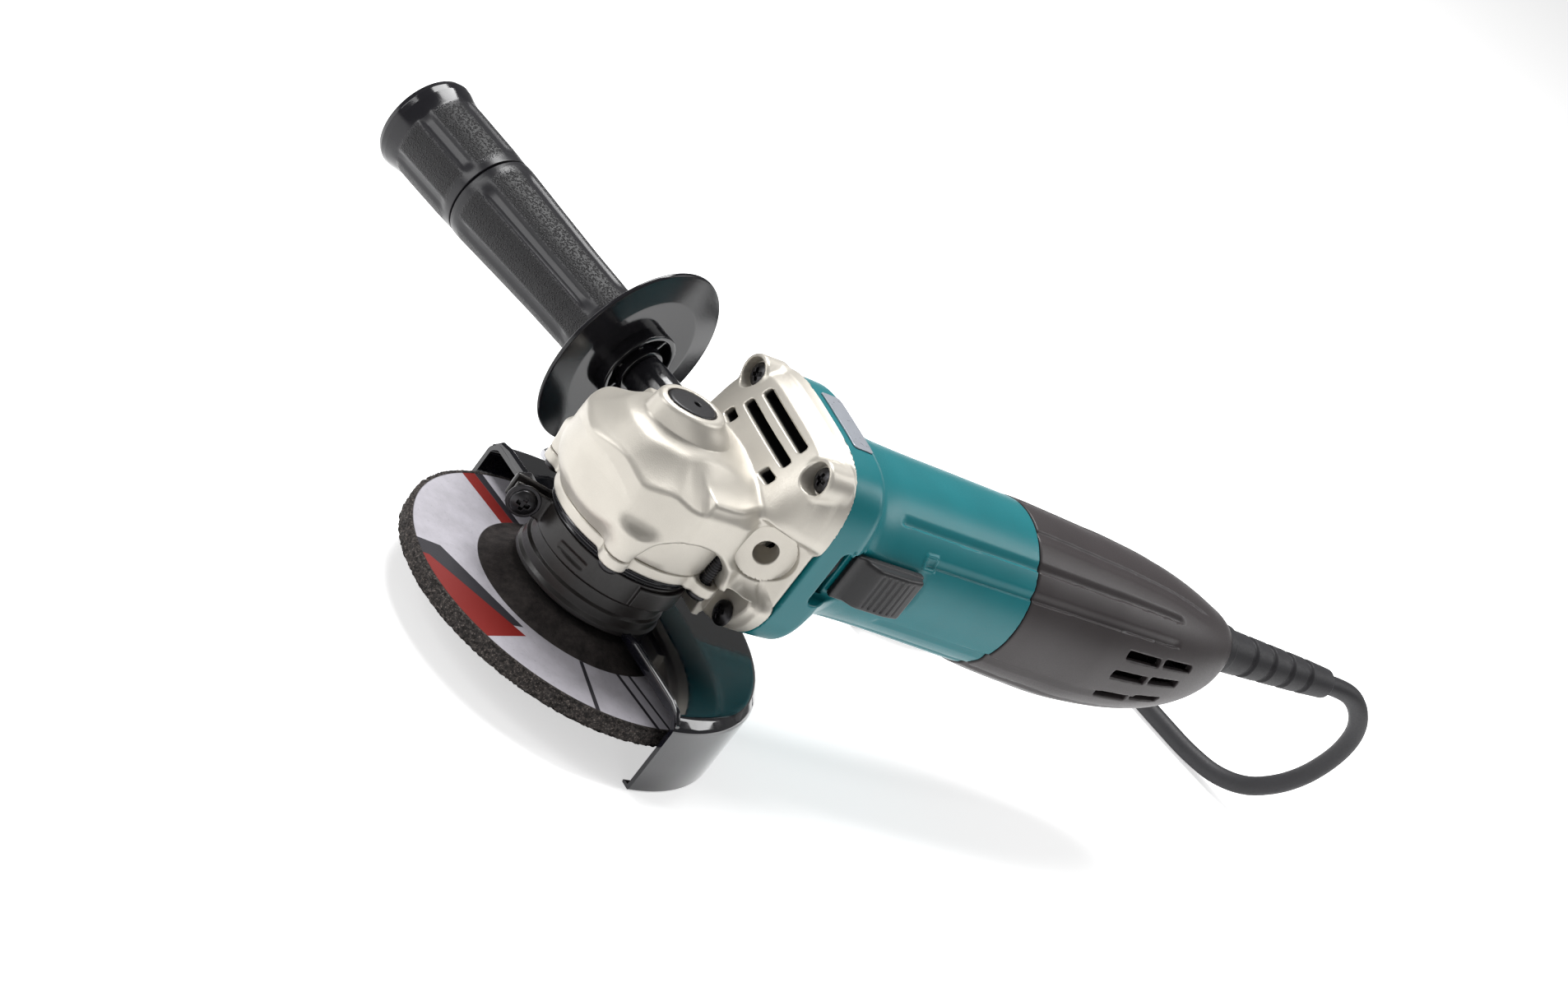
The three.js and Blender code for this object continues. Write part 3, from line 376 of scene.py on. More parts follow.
# ---- turned and swept pieces
def rounded(outline, radius, steps=4):
    """A closed outline with each corner, given as (a, b) or (a, b, own radius), turned into a small arc."""
    out = []
    count = len(outline)
    for i, corner in enumerate(outline):
        here = np.array(corner[:2], float)
        before, after = np.array(outline[i - 1][:2], float), np.array(outline[(i + 1) % count][:2], float)
        r = corner[2] if len(corner) > 2 else radius
        u, v = before - here, after - here
        lu, lv = np.linalg.norm(u), np.linalg.norm(v)
        angle = math.acos(np.clip((u @ v) / (lu * lv), -1, 1))
        reach = min(r / max(math.tan(angle / 2), 1e-6), 0.49 * lu, 0.49 * lv)
        if r <= 0 or angle > math.radians(176):
            out.append(here)
            continue
        p, q = here + u / lu * reach, here + v / lv * reach
        for t in np.linspace(0, 1, steps + 1):
            out.append((1 - t) ** 2 * p + 2 * t * (1 - t) * here + t * t * q)
    return np.array(out)


def finer(outline, longest):
    """The outline with its long sides divided."""
    out = []
    for i, p in enumerate(outline):
        q = outline[(i + 1) % len(outline)]
        n = max(1, int(math.ceil(np.linalg.norm(q - p) / longest)))
        out += [p + (q - p) * k / n for k in range(n)]
    return np.array(out)


def turned(outline, sides=96, start=0.0, end=360.0, shape=None):
    """Vertices and faces of a closed (radius, height) outline turned about Z from start to end."""
    whole = end - start >= 360
    angles = np.radians(np.linspace(start, end, sides if whole else sides + 1, endpoint=not whole))
    verts, rings = [], []
    for r, h in outline:
        if r < 1e-6:
            rings.append([len(verts)] * len(angles))
            verts.append((0.0, 0.0, h))
            continue
        rings.append(list(range(len(verts), len(verts) + len(angles))))
        radii = np.full(len(angles), r) if shape is None else shape(r, h, angles)
        verts += [(radius * math.cos(a), radius * math.sin(a), h) for radius, a in zip(radii, angles)]
    faces = []
    for i, ring in enumerate(rings):
        other = rings[(i + 1) % len(rings)]
        if ring[0] == ring[-1] and other[0] == other[-1]:
            continue
        for j in range(len(angles) if whole else len(angles) - 1):
            k = (j + 1) % len(angles)
            face = [ring[j], ring[k], other[k], other[j]]
            faces.append([v for n, v in enumerate(face) if v != face[n - 1]])
    if not whole:
        faces += [[ring[0] for ring in rings], [ring[-1] for ring in rings][::-1]]
    area = sum((outline[i - 1][0] + p[0]) * (outline[i - 1][1] - p[1]) for i, p in enumerate(outline))
    if area > 0:
        faces = [f[::-1] for f in faces]
    return np.array(verts), faces


def grid_tube(sections):
    """Vertices and faces of a closed skin through rings of points, with flat ends."""
    count = len(sections[0])
    verts = np.concatenate(sections)
    faces = [[i * count + j, i * count + (j + 1) % count, (i + 1) * count + (j + 1) % count,
              (i + 1) * count + j]
             for i in range(len(sections) - 1) for j in range(count)]
    faces += [list(range(count))[::-1], [(len(sections) - 1) * count + j for j in range(count)]]
    return verts, faces


def swept(points, radius, sides=20):
    """A round tube along a path, its rings carried along without twisting."""
    ahead = np.gradient(points, axis=0)
    ahead /= np.linalg.norm(ahead, axis=1)[:, None]
    across, sections = np.array([0.0, 1.0, 0.0]), []
    turn = np.linspace(0, 2 * math.pi, sides, endpoint=False)[:, None]
    for point, way in zip(points, ahead):
        across = across - way * (across @ way)
        across /= np.linalg.norm(across)
        sections.append(point + radius * (np.cos(turn) * across + np.sin(turn) * np.cross(way, across)))
    return grid_tube(sections)


def crisp(piece, degrees=38):
    """Smooth shading with sharp edges kept, and flat faces that stay flat."""
    piece.data.set_sharp_from_angle(angle=math.radians(degrees))
    weighted = piece.modifiers.new("weighted_normals", "WEIGHTED_NORMAL")
    weighted.keep_sharp = True
    weighted.weight = 100
    return piece


def along_x(verts, z=None):
    """Turned about Z -> turned about the motor axis, at height z."""
    return np.column_stack([verts[:, 2], -verts[:, 1], verts[:, 0] + (AXIS_Z if z is None else z)])


def lathe(name, outline, corner, sides, material, node, place=None, degrees=38):
    """A turned piece with rounded corners, moved by place, with edges over degrees kept sharp."""
    verts, faces = turned(rounded(outline, corner), sides)
    return crisp(new_mesh(name, verts if place is None else place(verts), faces, material, node), degrees)


def on_grip(verts):
    """Turned about Z -> turned about the side grip's axis."""
    s, c = math.sin(GRIP_TILT), math.cos(GRIP_TILT)
    return GRIP_AT + verts @ np.array([[c, s, 0], [0, 0, -1], [-s, c, 0]])


# ---- materials
class Nodes:
    """A material with one Principled shader, and short calls that add nodes to it."""

    def __init__(self, name, color, roughness, metallic=0.0, coat=0.0, coat_roughness=0.05, specular=0.5):
        self.material = bpy.data.materials.new(name)
        self.material.use_nodes = True
        self.tree = self.material.node_tree
        self.shader = self.tree.nodes["Principled BSDF"]
        self.fill(self.shader, {"Base Color": (*color, 1), "Roughness": roughness, "Metallic": metallic,
                                "Coat Weight": coat, "Coat Roughness": coat_roughness,
                                "Specular IOR Level": specular})
        self.place = self.add("ShaderNodeTexCoord").outputs["Object"]
        self.normal = None

    def fill(self, node, values):
        """Sets each named or numbered input to its number, or links it to its socket."""
        for key, value in values.items():
            if isinstance(value, bpy.types.NodeSocket):
                self.tree.links.new(value, node.inputs[key])
            elif value is not None:
                node.inputs[key].default_value = value

    def add(self, kind, inputs=(), **values):
        node = self.tree.nodes.new(kind)
        for key, value in values.items():
            setattr(node, key, value)
        self.fill(node, dict(inputs))
        return node

    def noise(self, scale, detail=3.0, roughness=0.55):
        return self.add("ShaderNodeTexNoise", {"Scale": scale, "Detail": detail, "Roughness": roughness,
                                               "Vector": self.place}).outputs["Fac"]

    def cells(self, scale):
        return self.add("ShaderNodeTexVoronoi", {"Scale": scale, "Vector": self.place}).outputs["Distance"]

    def math(self, operation, a, b):
        return self.add("ShaderNodeMath", {0: a, 1: b}, operation=operation).outputs[0]

    def spread(self, value, low, high, out_low=0.0, out_high=1.0):
        return self.add("ShaderNodeMapRange", {"Value": value, "From Min": low, "From Max": high,
                                               "To Min": out_low, "To Max": out_high}).outputs["Result"]

    def mix(self, share, a, b):
        """A colour between a and b, which are colours or sockets."""
        node = self.add("ShaderNodeMix", data_type="RGBA")
        factor, first, second = [i for i in node.inputs if i.enabled and i.name in "Factor A B".split()]
        for socket, value in ((factor, share), (first, a), (second, b)):
            if isinstance(value, tuple):
                socket.default_value = (*value, 1)
            else:
                self.tree.links.new(value, socket)
        return [o for o in node.outputs if o.type == "RGBA"][0]

    def bump(self, height, depth):
        node = self.add("ShaderNodeBump", {"Distance": depth, "Height": height, "Normal": self.normal})
        self.normal = node.outputs["Normal"]
        self.fill(self.shader, {"Normal": self.normal})

    def color(self, output):
        self.fill(self.shader, {"Base Color": output})

    def rough(self, output):
        self.fill(self.shader, {"Roughness": output})

    def attribute(self, name):
        return self.add("ShaderNodeAttribute", attribute_name=name).outputs["Fac"]


def tone(color, factor):
    return tuple(c * factor for c in color)


def grained(name, color, roughness, metallic=0.0, grain=1800.0, depth=0.00002, vary=0.12, patch=60.0,
            painted_shade=None, **more):
    """A moulded or cast finish: fine grain in the bump, slow changes in colour and roughness.

    The painted shade colour, if given, is mixed in where the piece's own painted shade attribute says so; it
    darkens deep recesses, such as the insides of vents, as painted shade.
    """
    m = Nodes(name, color, roughness, metallic, **more)
    slow, fine = m.noise(patch, 4), m.noise(grain, 2)
    base = m.mix(m.spread(slow, 0.3, 0.7), tone(color, 1 - vary), tone(color, 1 + vary))
    m.color(base if painted_shade is None else m.mix(m.attribute("painted_shade"), base, painted_shade))
    m.rough(m.spread(fine, 0.3, 0.7, roughness - 0.06, roughness + 0.06))
    m.bump(fine, depth)
    return m.material


ALUMINIUM = (0.54, 0.51, 0.455)
# the near-black colour given last is painted shade for the insides of the vents, not a colour of the casting
cast_aluminium = grained("cast_aluminium", ALUMINIUM, 0.42, 0.55, grain=2200, depth=0.00003, vary=0.04,
                         painted_shade=(0.012, 0.011, 0.011))
TEAL = (0.004, 0.15, 0.172)
teal_plastic = grained("teal_plastic", TEAL, 0.36, grain=2600, depth=0.000012, vary=0.05, specular=0.4)
DARK_GREY = (0.036, 0.03, 0.031)
grey_plastic = grained("grey_plastic", DARK_GREY, 0.42, grain=2600, depth=0.000015, vary=0.06,
                       specular=0.35)
black_plastic = grained("black_plastic", (0.01, 0.0095, 0.01), 0.32, grain=2600, depth=0.00001,
                        specular=0.35)
gloss_plastic = grained("gloss_plastic", (0.009, 0.009, 0.011), 0.14, grain=900, depth=0.000004)
rubber = grained("rubber", (0.024, 0.0235, 0.026), 0.55, grain=1500, depth=0.00003, specular=0.3)
enamel = grained("black_enamel", (0.0035, 0.0035, 0.006), 0.09, grain=320, depth=0.000008, vary=0.3,
                 coat=0.6)
steel = grained("machined_steel", (0.42, 0.42, 0.44), 0.3, 1.0, grain=1400, depth=0.00001)
dark_steel = grained("black_oxide_steel", (0.035, 0.034, 0.036), 0.34, 0.9, grain=1600, depth=0.00002,
                     vary=0.3)
copper = grained("enamelled_copper", (0.5, 0.18, 0.07), 0.3, 0.9, grain=900, depth=0.00003)
lamination = grained("laminated_steel", (0.2, 0.2, 0.21), 0.45, 0.8, grain=1200, depth=0.00002)
carbon = grained("brush_carbon", (0.014, 0.014, 0.014), 0.7, grain=2500, depth=0.00003)
nylon = grained("black_nylon", (0.018, 0.019, 0.021), 0.5, grain=1800, depth=0.00002)
plate = grained("label_plate", (0.36, 0.38, 0.42), 0.32, 0.35, grain=500, depth=0.000004, vary=0.05)
satin_black = grained("band_enamel", (0.012, 0.0102, 0.0096), 0.36, grain=1500, depth=0.000012, vary=0.2,
                      specular=0.4)
satin_plastic = grained("satin_plastic", (0.016, 0.0155, 0.017), 0.4, grain=3000, depth=0.000015,
                        specular=0.35)

grip = Nodes("grip_plastic", (0.011, 0.0105, 0.012), 0.34, specular=0.35)
stippled, polished = grip.attribute("stipple"), grip.attribute("gloss")
dots, slow = grip.spread(grip.cells(1450), 0.1, 0.55, 1, 0), grip.noise(80, 4)
# stippled panels: the raised middles of the stipple cells are painted lighter and the gaps between them
# darker, a painted highlight and painted shade that follow the bump
grip.color(grip.mix(stippled, grip.mix(slow, (0.009, 0.0088, 0.011), (0.014, 0.0135, 0.016)),
                    grip.mix(dots, (0.004, 0.004, 0.005), (0.02, 0.0185, 0.02))))
grip.rough(grip.math("ADD", grip.spread(polished, 0, 1, 0.3, 0.1), grip.math("MULTIPLY", stippled, 0.22)))
grip.bump(grip.math("MULTIPLY", dots, stippled), 0.00028)
grip.bump(grip.noise(2500, 2), 0.00001)
grip_plastic = grip.material

# the disc: dark bonded grit with a printed paper ring, which has a few plain bars and wedges of colour
disc = Nodes("bonded_abrasive", (0.05, 0.045, 0.045), 0.85, specular=0.3)
axes = disc.add("ShaderNodeSeparateXYZ", {0: disc.place})
flat = disc.add("ShaderNodeCombineXYZ", {"X": axes.outputs["X"], "Y": axes.outputs["Y"]})
from_axis = disc.add("ShaderNodeVectorMath", {0: flat.outputs[0]}, operation="LENGTH").outputs["Value"]


def left_of(p, q, soft=0.08):
    """1 to the left of the line from p to q on the disc's face, 0 to the right."""
    run = math.hypot(q[0] - p[0], q[1] - p[1])
    nx, ny = -(q[1] - p[1]) / run, (q[0] - p[0]) / run
    node = disc.add("ShaderNodeVectorMath", {0: flat.outputs[0], 1: (nx, ny, 0)}, operation="DOT_PRODUCT")
    edge = (p[0] * nx + p[1] * ny) * MM
    return disc.spread(node.outputs["Value"], edge - soft * MM, edge + soft * MM)


def inside_of(*corners):
    """1 inside a convex outline given counter-clockwise on the disc's face."""
    share = left_of(corners[-1], corners[0])
    for p, q in zip(corners, corners[1:]):
        share = disc.math("MULTIPLY", share, left_of(p, q))
    return share


coarse = disc.noise(900, 6, 0.8)
speck = disc.math("MULTIPLY", disc.spread(disc.cells(1500), 0.15, 0.5, 1, 0.25),
                  disc.spread(coarse, 0.44, 0.6))
bare = disc.mix(speck, (0.012, 0.0105, 0.01), (0.2, 0.17, 0.155))
hub = disc.mix(disc.spread(disc.noise(300, 5, 0.7), 0.35, 0.65), (0.014, 0.0115, 0.011),
               (0.042, 0.035, 0.033))
paper = disc.mix(disc.spread(disc.noise(140, 6, 0.7), 0.3, 0.7), (0.38, 0.365, 0.4), (0.48, 0.465, 0.51))
grime = disc.spread(disc.noise(900, 4, 0.7), 0.6, 0.74)
paper = disc.mix(disc.math("MULTIPLY", grime, 0.45), paper, (0.16, 0.15, 0.17))
red, ink = (0.2, 0.008, 0.005), (0.022, 0.02, 0.026)
wedge = inside_of((-80, 3), (-47.4, -33.2), (-29.2, -27.2), (-53.9, 1))
band = inside_of((-80, -30), (-28.4, -23), (-47.2, 7.5), (-80, 12))
paper = disc.mix(band, paper, ink)
paper = disc.mix(wedge, paper, red)
paper = disc.mix(inside_of((-14.7, 30.2), (-9.3, 32.3), (-18, 62), (-23.5, 60)), paper, red)
paper = disc.mix(inside_of((-9.3, 32.3), (-6.6, 32.9), (-14, 62), (-18, 62)), paper, ink)
for bar in (((1.8, -32), (9, -60), (10.4, -60), (3.2, -32)),
            ((7, -32), (14.6, -60), (15.6, -60), (8.2, -32)),
            ((-15.6, -60), (-13.8, -60), (-9.8, -32), (-11.2, -32))):
    paper = disc.mix(inside_of(*bar), paper, ink)
top_face = disc.spread(axes.outputs["Z"], (WHEEL_Z1 - 0.12) * MM, (WHEEL_Z1 - 0.04) * MM)
ring = disc.math("MULTIPLY", disc.spread(from_axis, 0.0335, 0.0338), disc.spread(from_axis, 0.0563, 0.0560))
label = disc.math("MULTIPLY", top_face, ring)
in_hub = disc.math("MULTIPLY", disc.spread(axes.outputs["Z"], (WHEEL_Z1 - 0.2) * MM, WHEEL_Z1 * MM),
                   disc.spread(from_axis, 0.0338, 0.0335))
disc.color(disc.mix(label, disc.mix(in_hub, bare, hub), paper))
disc.rough(disc.spread(label, 0, 1, 0.88, 0.5))
disc.bump(disc.math("MULTIPLY", coarse, disc.spread(label, 0, 1, 1, 0.12)), 0.0005)
wheel_surface = disc.material

CAD_FINISH = {
    steel: ["spindle", "bevel_gear", "bevel_pinion", "armature_shaft", "lower_bearing", "upper_bearing",
            "front_motor_bearing", "rear_motor_bearing", "lock_pin"],
    dark_steel: ["bearing_sleeve", "grip_stud"],
    lamination: ["armature_core", "stator_core"],
    copper: ["armature_windings", "commutator", "field_coil_1", "field_coil_2"],
    carbon: ["carbon_brush_1", "carbon_brush_2"],
    nylon: ["cooling_fan", "fan_baffle", "brush_holder_1", "brush_holder_2", "cord_clamp", "switch_rod"],
    black_plastic: ["switch_unit"],
}
for finish, names in CAD_FINISH.items():
    for name in names:
        slots = nodes[name].data.materials
        slots.clear()
        slots.append(finish)


# ---- gear housing
nose_radius = curve_table([(36, 24), (50, 25.6), (52.6, 26.6), (55, 28.4), (58, 30.6), (61, 31.7),
                           (65, 32.1),
                           (75.5, 31.8), (77.2, 31), (79, 28.8), (84.2, 21), (86.4, 14), (88, 7)])
side_wall = curve_table([(-40, 28.4), (2, 28.4), (9, 27.6), (14, 25), (18, 22.9), (24, 24.9), (27, 25.9),
                         (31, 27.5),
                         (34, 30), (37.4, 34.2)])
# flat faces on the dome: heading and rise of each normal in degrees, and distance from the axis at z = 60
FACETS = [(202, 2, 30.4), (248, 2, 29.9), (270, 0, 28.8), (90, 0, 28.8), (270, 59, 28.7), (90, 59, 28.7),
          (226, 57, 30.6),
          (182, 57, 30.7), (136, 57, 30.6)]
NECK = [(-6, -7.5, 27, 21, 2.6), (8, -7.5, 28.2, 20.8, 2.7), (16, -7, 28.6, 21, 2.8),
        (22, -4, 30, 24.5, 3.1),
        (30, -1.5, 32.6, 32, 3.6), (37.6, 0, 34.4, 34.4, 4)]
FLANGE = [(17, -8, 21, 17, 3.2), (18.4, -6, 23, 19, 3.3), (21, -3, 26.5, 23.4, 3.5),
          (24, -1, 29.6, 28, 3.7),
          (27, 0, 32.2, 32, 3.9), (31.5, 0, 33.4, 33.4, 4), (33.4, 0, 34.4, 34.4, 4), (37.6, 0, 34.4, 34.4,
                                                                                       4)]


def gear_housing(x, y, z):
    w, side = z - AXIS_Z, np.abs(y)
    around = hypot(x, y)
    nose = meet((around - nose_radius(z)) * 0.85, z - 86.6, 4)
    for heading, rise, away in FACETS:
        h, r = math.radians(heading), math.radians(rise)
        nose = meet(nose, (x * math.cos(h) + y * math.sin(h)) * math.cos(r) + (z - 60) * math.sin(r) - away,
                    1.1)
    upper = loft_field(x, y, z, NECK)
    upper = meet(upper, -(w - 8.5), 1.5)
    upper = meet(upper, -(x + 4), 6)
    lower = meet((side - side_wall(x)) * 0.95, w - 9.5, 2)
    lower = meet(lower, meet(-(x + 2), x - 29), 1)
    flange = meet(loft_field(x, y, z, FLANGE), meet(x - 37.6, 17 - x))
    waist = cut(flange, meet((side_wall(x) - side) * 0.95, meet(np.abs(w + 3.5) - 12.5, x - 37.5), 5), 4)
    body = join(join(nose, upper, 5), lower, 3)
    body = join(body, waist, 4)
    for lx, ly in LUGS:
        body = join(body, rod_field(x - lx, y - ly, z, 4.9, 50, 62, 1), 5)
    for hand in (-1, 1):
        arch = (hypot((x - 3) / 17, (z - FLOOR_Z) / 13) - 1) * 12
        body = cut(body, meet(meet(arch, 26.5 + 0.12 * (z - FLOOR_Z) - around), -hand * y), 1.6)
    # raised cup around the shaft-lock button
    bx = (x - BUTTON_X) / 1.32
    lip = hypot(bx, y)
    cup = meet((lip - 8.5 - 0.16 * np.maximum(CUP_TOP - z, 0)) * 0.9, z - CUP_TOP, 1.4)
    body = join(body, meet(cup, 80 - z), 12)
    # bosses for the side grip
    for hand in (-1, 1):
        a, b, s = grip_local(x, y, z, hand)
        body = join(body, rod_field(a, b, s, 8.7, -6, 0, 0.35), 0.6)
        body = cut(body, rod_field(a, b, s, 9.6, 0, 14), 0.5)
        body = cut(body, rod_field(a, b, s, 3.9, -11, 3), 0.5)
    # screw ears, pockets and holes in the four corners
    for lx, ly in LUGS:
        body = cut(body, rod_field(x - lx, y - ly, z, 2.1, 45, 62))
    for cy, cw in SCREWS:
        dy, dw = y - cy, w - cw
        if cw > 0:
            body = join(body, rod_field(dy, dw, x, 6.4, 25.6, 36, 1.2), 1.5)
            body = cut(body, rod_field(dy, dw, x, 5.1, 10, SCREW_SEAT_X, 0.3), 0.6)
        else:
            corner = meet(17.4 - side, w + 17.4, 9)
            body = cut(body, meet(corner, meet(22.6 - x, x - SCREW_SEAT_X)), 0.8)
        body = cut(body, rod_field(dy, dw, x, 2.6, 25, 40))
    # air vents
    body = cut(body, box_field(x, y, w, 16, 34, -14.6, 14.6, 26.4, 29.6, 1.2), 0.5)
    body = cut(body, box_field(x, y, w, 14, 34, -15.6, 15.6, 20.6, 23.9, 1.2), 0.5)
    for hand in (-1, 1):
        body = cut(body, box_field(x, hand * y, w, 12, 34, 11.8, 17.4, 14.6, 17.9, 1), 0.5)
        body = cut(body, box_field(x, hand * y, w, 24, 36, 17.5, 20.5, -19, -13.4, 1.2), 0.4)
    # inside
    body = cut(body, box_field(x, y, z, -50, 26.4, -50, 50, 10, FLOOR_Z), 0.8)
    body = cut(body, meet(around - 22.9, meet(40 - z, z - 73)), 0.5)
    body = cut(body, meet(around - 7.3, meet(70 - z, z - 84.4)))
    body = cut(body, meet((lip - 6.75) * 0.9, 86 - z), 0.3)
    motor = hypot(y, w)
    body = cut(body, meet(motor - 9.2, meet(5 - x, x - 30)))
    body = cut(body, meet(motor - 13.5, meet(27.2 - x, x - 40)))
    bay = meet(meet(motor - 28, 16.2 - motor), 33.4 - x)
    body = cut(body, join(bay, meet(motor - 28, 36.6 - x)))
    return meet(body, x - FLANGE_X)


gear_case = shell("gear_case", gear_housing, (-34, -36, 36), (38.5, 36, 107), 0.5, cast_aluminium,
                  "gear_housing")
x, y, z = places(gear_case)
# painted shade: vertices deep inside the vent openings are darkened towards near black, where shade would
# fall
in_vents = (x > 15) & (np.abs(y) < 17.6) & (z - AXIS_Z > 13)
paint(gear_case, "painted_shade", in_vents * step(-join(loft_field(x, y, z, NECK), loft_field(x, y, z, FLANGE)),
                                          0.7, 2.2))

# ---- motor housing
MOTOR = [(37, 0, 34.4, 34.4, 4), (48.5, 0, 34.1, 34.1, 4), (50.5, 0, 33.6, 33.6, 3.9), (53, 0, 32, 32, 3.5),
         (57, -0.1, 29.4, 29.4, 2.7), (62, -0.1, 28.2, 28.2, 2.25), (70, -0.2, 27.8, 27.8, 2.08),
         (90, -0.6, 27.7, 27.7, 2), (132, -1.8, 27.7, 27.7, 2)]
# grooves: degrees above the side, start, and which way it steps
GROOVES = [(44.5, 69, 1), (24.5, 83, 1), (-27, 82, -1), (-47, 66, -1)]


def lengthwise_grooves(x, y, z, end=1e9):
    """Depth of the stepped grooves along the sides: sharp on one edge, fading out over the other."""
    angle = np.degrees(np.arctan2(z - AXIS_Z + 1, np.abs(y)))
    depth = 0
    for at, start, way in GROOVES:
        beside = (angle - at) * way
        width = np.where(beside > 0, 1 - step(beside, 0.5, 7), step(beside, -1.4, -0.5))
        depth = np.maximum(depth, width * step(x, start, start + 3) * (1 - step(x, end - 4, end)))
    return 0.75 * depth


def motor_housing(x, y, z):
    w = z - AXIS_Z
    body = loft_field(x, y, z, MOTOR) + lengthwise_grooves(x, y, z)
    body = meet(body, meet(37.7 - x, x - 131.1))
    body = meet(body, x - 131.1, 0.6)
    body = meet(body, 37.7 - x, 0.5)
    pad = box_field(x, y, w, 45.6, 87.4, -40, -26.7, -10.2, 10.2, 2.2)
    body = cut(body, pad, 1)
    motor = hypot(y, w)
    body = cut(body, meet(motor - 28.4, x - 54.4))
    body = cut(body, motor - 25)
    mark_i = join(box_field(x, w - 9.3, 0 * x, 49, 56.5, -0.5, 0.5, -1, 1),
                        join(box_field(x, w - 9.3, 0 * x, 48.6, 49.4, -2.2, 2.2, -1, 1),
                                   box_field(x, w - 9.3, 0 * x, 56.1, 56.9, -2.2, 2.2, -1, 1)))
    ring = np.abs(box_field(x, w - 11.4, 0 * x, 83, 88, -2, 2, -1, 1, 0.9)) - 0.35
    on_left = step(-y, 5, 10)
    return body - 0.4 * on_left * (1 - step(join(mark_i, ring), -0.1, 0.35))


shell("motor_case", motor_housing, (37, -36, 35.4), (132, 36, 107.4), 0.6, teal_plastic, "motor_housing")

# ---- rear cover
COVER = [(130, -1.8, 27.9, 28, 2), (140, -2.5, 28.2, 28.4, 2), (155, -3.4, 28, 28.5, 2),
         (170, -4.1, 27.8, 28.2, 2.05),
         (185, -4.2, 26.6, 27, 2.15), (200, -4.1, 24.8, 25.3, 2.2), (213, -3.9, 22.3, 22.9, 2.2),
         (222, -3.4, 19.8, 20.4, 2.2), (230, -2.6, 16.8, 17.4, 2.2), (235.5, -1.4, 14.2, 14.6, 2.1),
         (240, 0.6, 10.6, 10.6, 2)]
SLOTS = [(13, 181, 198), (14, 200, 215.5), (-4, 180, 197), (-3, 198.6, 213.5), (-25, 182, 197),
         (-23, 198.6, 211.5)]


def rear_cover(x, y, z):
    w = z - AXIS_Z
    body = loft_field(x, y, z, COVER) + lengthwise_grooves(x, y, z, 205)
    spine = step(np.abs(y), 7.2, 8) * step(w, 5, 9) * (1 - step(x, 214, 224))
    body = body + 0.55 * spine * (1 - step(np.abs(y), 8.4, 12))
    body = meet(body, 131.4 - x, 0.6)
    body = meet(body, x - REAR_X1)
    inner = meet(loft_field(x, y, z, COVER) + 2.6, x - 229)
    body = cut(body, inner, 0.3)
    slope = np.degrees(np.arctan2(w + 3, np.abs(y)))
    for angle, x0, x1 in SLOTS:
        across = (slope - angle) * math.pi / 180 * 26
        body = cut(body, box_field(x, across, 0 * x, x0, x1, -1.6, 1.6, -1, 1, 0.9) + 0 * z, 0.5)
    entry = hypot(y, w - 1.6)
    body = cut(body, meet(entry - 8.3, 225 - x), 0.6)
    body = cut(body, meet(entry - 10.4, meet(226 - x, x - 236.5)))
    foot = hypot(x - FOOT_SCREW_X, y)
    return cut(body, meet(foot - 3.8, w + 24), 0.5)


shell("rear_case", rear_cover, (131, -30, 38), (240, 30, 98.5), 0.6, grey_plastic, "rear_cover")

# ---- side grip
GRIP_SEAM, GRIP_END = 115.6, 154.3
GRIP = [(0, 82, 0), (4.5, 79.5, 0), (4.5, 38.4, 0.2), (13.2, 37.4, 0.3), (24, 37.1, 8), (34.1, 38, 0.5),
        (34.5, 39.2, 0.6),
        (33.4, 39.7, 0.4), (21, 41.2, 9), (15.3, 43.6, 4), (13.9, 52, 9), (13.7, 58, 6), (14.1, 75,
                                                                                          12), (14.9, 94, 12),
        (15.8, 113.4, 0.5), (15.75, GRIP_SEAM - 0.5, 0.3), (14.7, GRIP_SEAM - 0.4, 0.1), (14.7,
                                                                                          GRIP_SEAM + 0.3,
                                                                                          0.1),
        (15.6, GRIP_SEAM + 0.35, 0.3), (15.9, 124, 8), (16.1, 140, 8), (16.1, 145.5, 4), (17.3, 150.2, 2.2),
        (17.6, 152.2, 1), (17.1, GRIP_END, 1), (14.6, GRIP_END, 0.8), (12.8, 152, 1.2), (4.5, 151.6,
                                                                                         0.4), (4, 152.5,
                                                                                                0.4),
        (0, 152.5, 0)]


def flute_depth(s, angle):
    """How far the smooth flutes sink below the six stippled panels, as a share."""
    beside = np.abs((np.degrees(angle) % 60) - 30)
    across = 1 - step(beside, 3.5, 10.5)
    near = step(s, 51, 60) * (1 - step(s, 106, 112.5))
    far = step(s, 118.5, 122) * (1 - step(s, 142, 147.5))
    return across * (near + far)


def grip_radius(r, s, angles):
    if r < 13 or s < 45 or abs(s - GRIP_SEAM) < 0.9:
        return np.full(len(angles), r)
    return r - 0.85 * flute_depth(s, angles)


verts, faces = turned(finer(rounded(GRIP, 0.5), 1.6), 144, shape=grip_radius)
grip_body = crisp(new_mesh("grip_body", on_grip(verts), faces, grip_plastic, "side_grip"), 50)
beside = np.abs((np.degrees(np.arctan2(verts[:, 1], verts[:, 0])) % 60) - 30)
panel = step(beside, 9, 12.5)
panel = panel * np.maximum(step(verts[:, 2], 48, 52) * (1 - step(verts[:, 2], 110, 112.5)),
                           step(verts[:, 2], 118.6, 120.5) * (1 - step(verts[:, 2], 143.5, 146)))
panel = panel * (np.hypot(verts[:, 0], verts[:, 1]) > 12)
paint(grip_body, "stipple", panel)
paint(grip_body, "gloss", np.maximum(1 - step(verts[:, 2], 43, 50), step(verts[:, 2], 144, 149)))


